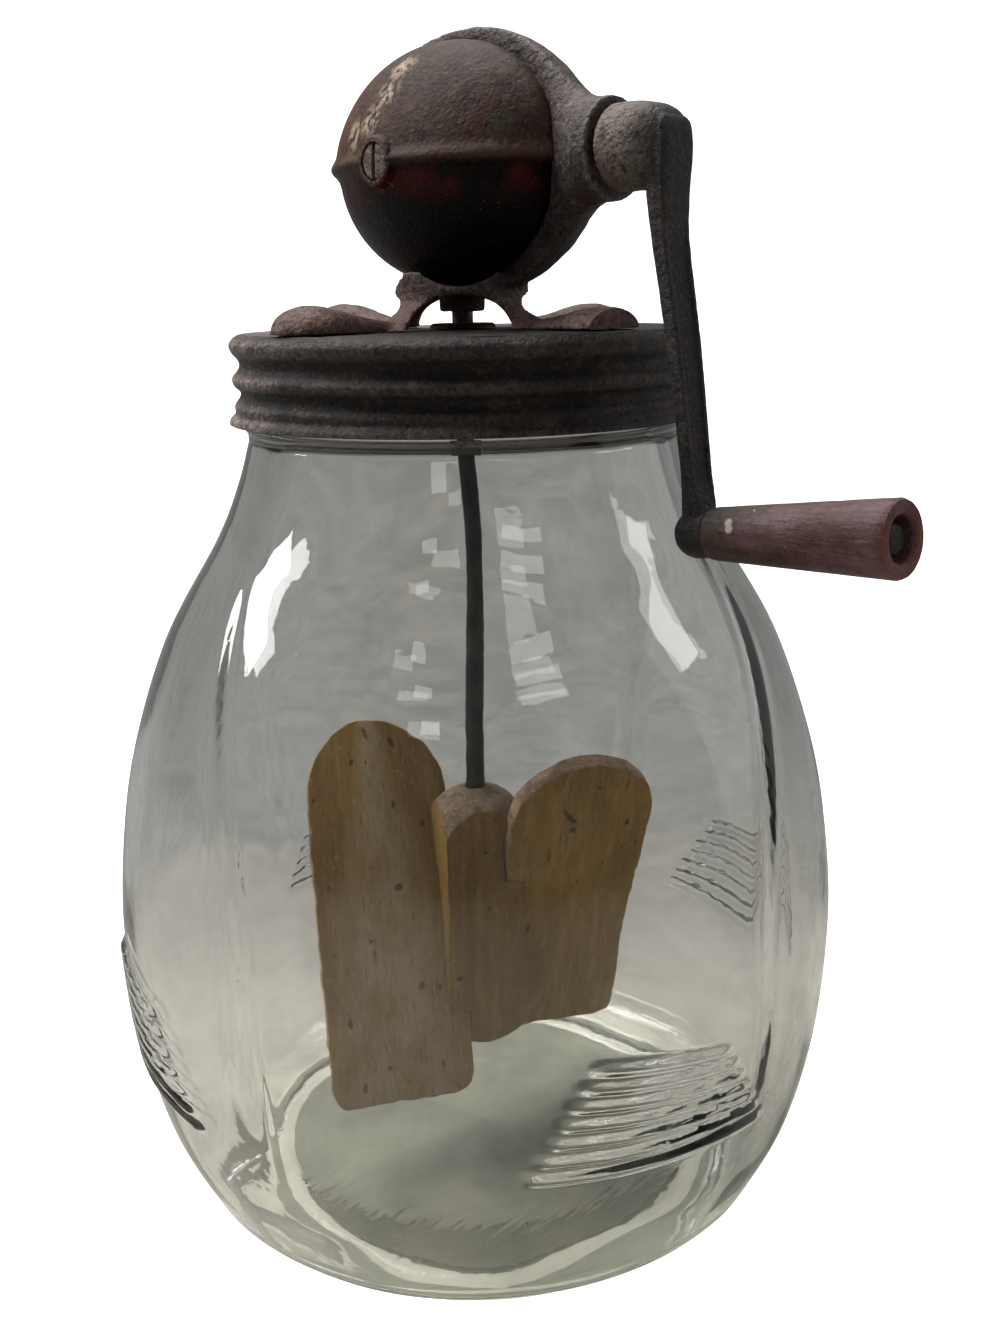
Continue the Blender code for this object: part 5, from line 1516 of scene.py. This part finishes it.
    def build_screw(self) -> None:
        """Builds the cover's slotted screw."""
        seat = self.cover_depth + self.gap
        face = seat + self.head_height
        profile = softened([(0, face), (self.head_radius, face - 0.0002), (self.head_radius, seat),
                            (self.screw_radius, seat)], 0.0004)
        shape = turned(profile + [(self.screw_radius, 0.0015), (0, 0.0015)], 48)
        shape.transform(Matrix.Translation((0, self.seam, self.heights.axis)) @ FACING_FRONT)
        item = to_object("slotted_screw", shape)
        slot = brick((-self.slot_half, self.seam - face - 0.01, -0.01),
                     (self.slot_half, self.seam - face + 2 * self.slot_half, 0.01))
        turn = Matrix.Rotation(self.slot_turn, 4, "Y")
        slot.transform(Matrix.Translation((0, 0, self.heights.axis)) @ turn)
        carve(item, [(slot, "DIFFERENCE")])
        soften_edges(item, 0.00012, 1)
        show(item, Body.LID, [self.finishes.crank], ["cover_screw"])

    def build(self) -> None:
        """Builds the whole head."""
        self.build_frame()
        self.build_cover()
        self.build_screw()


@dataclass
class Crank:
    """The cast crank with its sunk panel, and the painted wooden grip on its stud."""

    finishes: Finishes
    heights: Heights
    face: float = 0.0536
    throw: float = 0.0840
    hub_radius: float = 0.0094
    axle_radius: float = 0.0043
    elbow: float = 0.0136
    lean: float = 0.0104
    width: float = 0.0096
    thickness: float = 0.0044
    pocket: float = 0.0008
    rim: float = 0.0013
    knob_radius: float = 0.0057
    grip_inner: float = 0.0060
    grip_outer: float = 0.0085
    grip_length: float = 0.0468
    grip_tilt: float = math.radians(5)
    stud_hole: float = 0.0026
    well_radius: float = 0.0049
    well_depth: float = 0.0042
    cell: float = 0.00042
    quick_cell: float = 0.0008

    HUB = ((0.00, 1.00, 1.00, 2.0), (0.40, 0.99, 0.98, 2.1), (0.66, 0.96, 0.92, 2.4), (0.88, 0.92, 0.78, 2.8),
           (1.06, 0.82, 0.64, 3.2), (1.14, 0.66, 0.52, 3.2))
    ARM = ((0.00, -0.066, 0.50, 0.75, 0.0), (0.00, -0.054, 1.00, 1.00, 0.0), (0.00, -0.030, 1.30, 1.15, 0.0),
           (0.00, 0.030, 1.40, 1.20, 0.0), (0.00, 0.100, 1.30, 1.13, 0.0), (0.02, 0.170, 1.15, 1.06, 0.0),
           (0.06, 0.215, 1.04, 1.02, 0.4), (0.14, 0.280, 0.98, 0.99, 1.0), (0.50, 0.520, 0.90, 0.94, 1.0),
           (0.86, 0.820, 0.82, 0.87, 1.0), (0.93, 0.885, 0.95, 0.86, 0.3), (0.97, 0.930, 1.05, 0.88, 0.0),
           (1.00, 0.985, 1.05, 0.80, 0.0))

    def knob_place(self) -> Matrix:
        """Gives the place of the knob's centre, with +Z along the tilted grip.

        Returns:
            The place.
        """
        x = self.face + self.elbow + self.lean
        turn = Matrix.Rotation(QUARTER_TURN - self.grip_tilt, 4, "Y")
        return Matrix.Translation((x, 0, self.heights.grip)) @ turn

    def section(self, row: Sequence[float], points: int = 64) -> Ring:
        """Gives one section of the crank.

        Args:
            row: Place along X and Z, tilt, half thickness, half width, squareness and depth of the panel.
            points: Points round the section.

        Returns:
            The ring, in the frame's own place.
        """
        x, z, tilt, thick, wide, square, sunk = row
        across = Vector((math.sin(tilt), 0, math.cos(tilt)))
        ring = []
        for index in range(points):
            angle = FULL_TURN * index / points
            cos, sin = math.cos(angle), math.sin(angle)
            up = math.copysign(abs(cos) ** (2 / square), cos) * thick
            side = math.copysign(abs(sin) ** (2 / square), sin) * wide
            inside = (wide - self.rim - abs(side)) / 0.0005
            if sunk > 0 and inside > 0:
                up -= math.copysign(min(1.0, inside) * sunk, up)
            ring.append(Vector((x, 0, z)) + across * up + Vector((0, side, 0)))
        return ring

    def hub_rows(self) -> list[tuple[float, ...]]:
        """Gives the hub's sections, round at the snout and square at the arm.

        Returns:
            The rows for section().
        """
        radius = self.hub_radius
        keys = [(self.face + self.elbow * reach, self.heights.axis - radius * (1 - tall) * 0.9, 0.0,
                 radius * tall, radius * wide, square, 0.0) for reach, tall, wide, square in self.HUB]
        return smooth_run(keys, 6)

    def arm_rows(self) -> list[tuple[float, ...]]:
        """Gives the arm's sections from the elbow's top to the knob.

        Returns:
            The rows for section().
        """
        slope = math.atan2(self.throw, self.lean)
        arm_x = self.face + self.elbow
        keys = [(arm_x + self.lean * lean, self.heights.axis - self.throw * drop, slope,
                 self.thickness / 2 * thick, self.width / 2 * wide, 5.0, self.pocket * sunk)
                for lean, drop, thick, wide, sunk in self.ARM]
        return smooth_run(keys, 6)

    def build_arm(self) -> None:
        """Builds the crank's casting."""
        item = to_object("cast_crank", skin_rings([self.section(row) for row in self.arm_rows()]))
        radius = self.knob_radius
        dome = [(radius * math.cos(QUARTER_TURN * step / 10), -radius * math.sin(QUARTER_TURN * step / 10))
                for step in range(10)]
        rim = [(0, radius * 0.7), (radius * 0.90, radius * 0.7), (radius * 0.97, radius * 0.6)]
        knob = turned([*rim, *dome, (0, -radius)], 48)
        knob.transform(self.knob_place())
        seat = bar(self.axle_radius, self.face - 0.004, self.face + 0.0073, self.heights.on_axle())
        hub = skin_rings([self.section(row) for row in self.hub_rows()])
        carve(item, [(hub, "UNION"), (knob, "UNION"), (seat, "DIFFERENCE")])
        recast(item, self.cell, 2)
        roughen(item, 2.6, 0.09)
        for point in item.data.vertices:
            point.co.x = max(point.co.x, self.face)
        show(item, Body.CRANK, [self.finishes.crank], ["crank_arm"], 60)

    def nick_places(self, near: float) -> tuple[tuple[float, float, float], ...]:
        """Gives the places of two bare spots near the grip's inner end, on the side that faces the front.

        Args:
            near: Distance of the grip's inner end from the knob's centre.

        Returns:
            Their places in the frame.
        """
        places = []
        for along, turn in ((0.0079, 58), (0.0084, 71)):
            radius = self.grip_inner + (self.grip_outer - self.grip_inner) * along / self.grip_length
            angle = math.radians(turn)
            spot = Vector((-radius * math.cos(angle), -radius * math.sin(angle), near + along))
            places.append(tuple(self.knob_place() @ spot))
        return tuple(places)

    def build_grip(self) -> None:
        """Builds the turned grip with its well, and the stud's domed head."""
        near = self.knob_radius * 0.7 + 0.0003
        end = near + self.grip_length
        well = end - self.well_depth
        profile = softened([(self.well_radius, end), (self.grip_outer, end), (self.grip_inner, near),
                            (self.stud_hole, near), (self.stud_hole, well), (self.well_radius, well)],
                           0.0008, closed=True)
        item = to_object("turned_grip", turned(evenly(profile + profile[:1], 0.0012)[:-1], 96, closed=True))
        for point in item.data.vertices:
            spot = point.co.copy()
            if math.hypot(spot.x, spot.y) > 0.0055:
                nick = noise.noise(spot * 260) + 0.5 * noise.noise(spot * 700)
                shrink = 1 - 0.014 * max(0.0, nick) - 0.006
                point.co.x *= shrink
                point.co.y *= shrink
        item.data.transform(self.knob_place())
        paint = GripPaint(inner_end=self.face + self.elbow + self.lean + near, nicks=self.nick_places(near))
        show(item, Body.GRIP, [paint.material()], ["handle_grip"], 50)
        head = well + 0.0012
        stud = turned(softened([(0, head + 0.0016), (0.0030, head + 0.0013), (0.0034, head), (0.0022, head),
                                (0.0022, near - 0.0053), (0, near - 0.0053)], 0.0003), 48)
        stud.transform(self.knob_place())
        head_item = to_object("grip_stud_head", stud)
        show(head_item, Body.CRANK, [self.finishes.crank], ["grip_stud"])

    def build(self) -> None:
        """Builds the crank and its grip."""
        self.build_arm()
        self.build_grip()


@dataclass
class Dasher:
    """The rod, the domed wooden hub and its two pitched blades."""

    finishes: Finishes
    heights: Heights
    azimuth: float = math.radians(59.6)
    pitch: float = math.radians(23.2)
    pivot: float = 0.1698
    inner: float = 0.0058
    outer: float = 0.0464
    above: float = 0.0637
    below: float = 0.0442
    thickness: float = 0.0050
    corner: float = 0.0060
    hub_top: float = 0.1240
    hub_length: float = 0.0788
    hub_width: float = 0.0222
    hub_dome: float = 0.0161
    rod_radius: float = 0.0027
    rod_hole: float = 0.0030
    slot_gap: float = 0.0003

    def outline(self) -> list[Point2]:
        """Gives a blade's outline: an arched top and rounded lower corners.

        Returns:
            Points about 2 mm apart, without the closing one.
        """
        radius, middle = (self.outer - self.inner) / 2, (self.outer + self.inner) / 2
        spring = self.above - radius
        angles = [math.pi * step / 32 for step in range(33)]
        run = [(middle + radius * math.cos(angle), spring + radius * math.sin(angle)) for angle in angles]
        for edge, sign, order in ((self.inner, 1, range(7)), (self.outer, -1, range(6, -1, -1))):
            for step in order:
                angle = QUARTER_TURN * step / 6
                run.append((edge + sign * self.corner * (1 - math.cos(angle)),
                            -self.below + self.corner * (1 - math.sin(angle))))
        run.append(run[0])
        return evenly(run, 0.0021)[:-1]

    def build_blade(self, name: str, side: int, node: str) -> None:
        """Builds one blade as a board with long grain on its faces and cut grain round its edge.

        Args:
            name: The piece's name.
            side: 0 for the far blade, 1 for the near one.
            node: The CAD node that it stands for.
        """
        centre = Vector(((self.inner + self.outer) / 2, (self.above - self.below) / 2))
        rows = []
        for half in (-self.thickness / 2, self.thickness / 2):
            ring = []
            for x, y in self.outline():
                chip = noise.noise(Vector((x * 190, y * 190, side * 9)))
                chip += 0.6 * noise.noise(Vector((x * 600, y * 600, side * 5)))
                inward = (centre - Vector((x, y))).normalized()
                spot = Vector((x, y)) + inward * max(0.0, 0.00012 + chip * 0.0005)
                ring.append(Vector((spot.x, spot.y, half)))
            rows.append(ring)
        item = to_object(name, skin_rings(rows))
        soften_edges(item, 0.0006, 3, 60)
        give_vectors(item, "grain", [point.co + Vector((0, 0, side * 0.31)) for point in item.data.vertices])
        numbers = [0 if abs(face.normal.z) > 0.75 else 1 for face in item.data.polygons]
        item.data.transform(self.blade_place(side))
        # The near blade takes the darker copy of the maple: painted shade.
        board = self.finishes.bloomed_wood_painted_shade if side else self.finishes.wood
        show(item, Body.DASHER, [board, self.finishes.end_grain], [node], 50)
        item.data.polygons.foreach_set("material_index", numbers)

    def blade_place(self, side: int) -> Matrix:
        """Gives a blade's place.

        Args:
            side: 0 for the far blade, 1 for the near one.

        Returns:
            The place, whose own X points out from the hub and whose own Y leans from upright.
        """
        turn = Matrix.Rotation(self.azimuth + side * math.pi, 4, "Z")
        lean = Matrix.Rotation(QUARTER_TURN + self.pitch, 4, "X")
        return Matrix.Translation((0, 0, self.heights.lid_top - self.pivot)) @ turn @ lean

    def build_hub(self) -> None:
        """Builds the square hub with its domed ends and the slots for the blades."""
        top = self.heights.lid_top - self.hub_top
        foot = top - self.hub_length
        half = self.hub_width / 2
        shape = brick((-half, -half, foot - 0.004), (half, half, top + 0.004))
        shape.transform(Matrix.Rotation(self.azimuth, 4, "Z"))
        item = to_object("domed_hub", shape)
        radius = self.hub_dome
        angles = [QUARTER_TURN * step / 14 for step in range(15)]
        dome = [(radius * math.sin(angle), radius * (1 - math.cos(angle))) for angle in angles]
        round_bar = [(out, top - fall) for out, fall in dome]
        round_bar += [(out, foot + fall) for out, fall in reversed(dome)]
        steps = [(turned(round_bar, 96), "INTERSECT")]
        gap = self.slot_gap
        for side in (0, 1):
            slot = brick((self.inner - gap, -self.below, -self.thickness / 2 - gap),
                         (self.outer, self.above, self.thickness / 2 + gap))
            slot.transform(self.blade_place(side))
            steps.append((slot, "DIFFERENCE"))
        steps.append((bar(self.rod_hole, top - 0.0243, top + 0.004), "DIFFERENCE"))
        carve(item, steps)
        soften_edges(item, 0.0006, 3, 40)
        along_z = [Vector((point.co.x + 0.4, point.co.z, point.co.y)) for point in item.data.vertices]
        give_vectors(item, "grain", along_z)
        woods = [self.finishes.hub_wood, self.finishes.dome_grain]
        show(item, Body.DASHER, woods, ["dasher_hub"], 30)
        for face in item.data.polygons:
            face.material_index = 1 if abs(face.normal.z) > 0.35 else 0

    def build_rods(self) -> None:
        """Builds the long rod and the spindle above it."""
        tail = self.heights.lid_top - 0.0160
        foot = self.heights.lid_top - self.hub_top - 0.0240
        high_end = self.heights.axis - 0.0092
        rods = (("long_rod", foot, tail - 0.0003, self.finishes.black, Slot.BLACK_STEEL, "dasher_rod"),
                ("gear_spindle", tail, high_end, self.finishes.bright, Slot.BRIGHT_STEEL, "drive_spindle"))
        for name, low, high, material, slot, node in rods:
            profile = softened([(0, low), (self.rod_radius, low), (self.rod_radius, high), (0, high)], 0.0004)
            show(to_object(name, turned(profile, 48)), Body.DASHER, [material], [node])

    def build(self) -> None:
        """Builds the whole dasher."""
        self.build_rods()
        self.build_hub()
        self.build_blade("upper_blade", 0, "far_blade")
        self.build_blade("lower_blade", 1, "near_blade")


@dataclass
class KeptNodes:
    """CAD nodes that show as they are, each with a finish of its own."""

    finishes: Finishes
    smooth_angle: float = 35.0

    def build(self) -> None:
        """Dresses every CAD node that no piece stands for."""
        made = self.finishes
        rivets = [f"foot_rivet_{index}" for index in range(4)]
        bright = ["crank_axle", "gear_pin", "crank_pin", "pinion", "pinion_pin", "coupling_pin_upper",
                  "coupling_pin_lower"]
        black = ["axle_washer", "grip_washer", "rod_coupling", "rod_pin", "blade_nail_0", "blade_nail_1"]
        groups = ((Slot.SEAL, made.seal, ["lid_seal"]), (Slot.BRASS, made.brass, ["spindle_bush"]),
                  (Slot.CASTING, made.casting, ["drive_gear"]), (Slot.BRIGHT_STEEL, made.bright, bright),
                  (Slot.BLACK_STEEL, made.black, black), (Slot.LID, made.casting, rivets))
        for slot, material, names in groups:
            for node in (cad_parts[name] for name in names):
                node.data.materials.clear()
                node.data.materials.append(material)
                node.data.shade_smooth()
                node.data.set_sharp_from_angle(angle=math.radians(self.smooth_angle))


@dataclass
class Studio:
    """The paper sweep, the soft lamps and the camera at the photograph's angle."""

    azimuth: float = math.radians(47.5)
    pitch: float = math.radians(15.5)
    yaw: float = math.radians(1.25)
    roll: float = math.radians(-1.16)
    camera_place: tuple[float, float, float] = (0.2646, -0.2425, 0.2472)
    lens: float = 36.46
    sensor: float = 36.0
    room_tone: str = "#c9cdd0"
    room_strength: float = 0.16
    half_width: float = 2.0
    front: float = -2.2
    bend: float = 0.5
    wall_top: float = 2.4
    aim: float = 0.16

    LAMPS = (("window_lamp", -98, 0.61, 0.95, 0.30, 1.3, 0.35),
             ("high_lamp", -105, 1.45, 0.85, 0.80, 24, 1.2),
             ("side_lamp", 88, 0.80, 1.10, 0.20, 0.9, 1.8),
             ("side_fill", 105, 0.60, 1.20, 1.20, 2, 1.0),
             ("top_lamp", 180, 1.20, 0.45, 0.60, 7, 1.0))

    def build_camera(self) -> None:
        """Puts the camera where the photograph was taken from."""
        data = bpy.data.cameras.new("view")
        data.lens, data.sensor_width, data.sensor_fit = self.lens, self.sensor, "AUTO"
        data.clip_start, data.clip_end = 0.01, 50
        level_ahead = math.cos(self.pitch)
        forward = Vector((math.sin(self.yaw) * level_ahead, math.cos(self.yaw) * level_ahead,
                          -math.sin(self.pitch)))
        right = Vector((math.cos(self.yaw), -math.sin(self.yaw), 0))
        up = right.cross(forward)
        level = math.cos(self.roll) * right + math.sin(self.roll) * up
        rise = -math.sin(self.roll) * right + math.cos(self.roll) * up
        turn = Matrix.Rotation(self.azimuth, 3, "Z")
        axes = [turn @ level, turn @ rise, turn @ -forward]
        camera = bpy.data.objects.new("view", data)
        bpy.context.scene.collection.objects.link(camera)
        camera.matrix_world = Matrix.Translation(self.camera_place) @ Matrix(axes).transposed().to_4x4()
        bpy.context.scene.camera = camera

    def build_sweep(self) -> None:
        """Lays the paper: a wide flat floor that curves up behind the churn."""
        run = [(self.front, 0.0), (self.bend, 0.0)]
        for step in range(1, 13):
            angle = QUARTER_TURN * step / 12
            run.append((self.bend + self.bend * math.sin(angle), self.bend - self.bend * math.cos(angle)))
        run.append((2 * self.bend, self.wall_top))
        shape = bmesh.new()
        rows = [[shape.verts.new((side * self.half_width, along, up)) for along, up in run]
                for side in (-1, 1)]
        for index in range(len(run) - 1):
            shape.faces.new((rows[0][index], rows[1][index], rows[1][index + 1], rows[0][index + 1]))
        bmesh.ops.recalc_face_normals(shape, faces=shape.faces)
        sweep = to_object("paper_sweep", shape)
        sweep.matrix_world = Matrix.Rotation(self.azimuth, 4, "Z")
        sweep.data.materials.append(Backdrop().material())
        sweep.data.shade_smooth()

    def lamp(self, name: str, azimuth: float, height: float, distance: float, size: float, power: float,
             tall: float) -> None:
        """Hangs a soft lamp that faces the churn.

        Args:
            name: The lamp's name.
            azimuth: Degrees round from the camera's side.
            height: Height above the floor.
            distance: Distance from the churn's axis.
            size: Its width.
            power: Its power in watts.
            tall: Its height as a share of its width.
        """
        data = bpy.data.lights.new(name, "AREA")
        data.shape, data.energy, data.size, data.size_y = "RECTANGLE", power, size, size * tall
        lamp = bpy.data.objects.new(name, data)
        turn = self.azimuth + math.radians(azimuth)
        place = Vector((math.sin(turn) * distance, -math.cos(turn) * distance, height))
        lamp.location = place
        lamp.rotation_euler = (Vector((0, 0, self.aim)) - place).to_track_quat("-Z", "Y").to_euler()
        bpy.context.scene.collection.objects.link(lamp)

    def build(self) -> None:
        """Builds the studio."""
        self.build_camera()
        self.build_sweep()
        for row in self.LAMPS:
            self.lamp(*row)
        for index in range(3):
            self.lamp(f"right_strip_{index}", 26, 0.84 + 0.18 * index, 1.00, 0.34, 0.25, 0.22)
            self.lamp(f"left_strip_{index}", -14 - 5 * index, 0.66 + 0.26 * index, 1.00, 0.14, 0.10, 0.5)
        world = bpy.data.worlds.new("soft_room")
        world.use_nodes = True
        room = world.node_tree.nodes["Background"]
        room.inputs["Color"].default_value = linear(self.room_tone)
        room.inputs["Strength"].default_value = self.room_strength
        bpy.context.scene.world = world
        bpy.context.scene.view_settings.view_transform = "Standard"


def main() -> None:
    """Builds the churn piece by piece, then its studio."""
    logging.basicConfig(level=logging.INFO, format="%(message)s")
    finishes = Finishes()
    heights = Heights()
    whole = [kind(finishes, heights) for kind in (GlassJar, ScrewLid, GearHead, Crank, Dasher)]
    for part in (*whole, KeptNodes(finishes)):
        LOG.info("building %s", type(part).__name__)
        part.build()
    Studio().build()


if __name__ == "__main__":
    main()
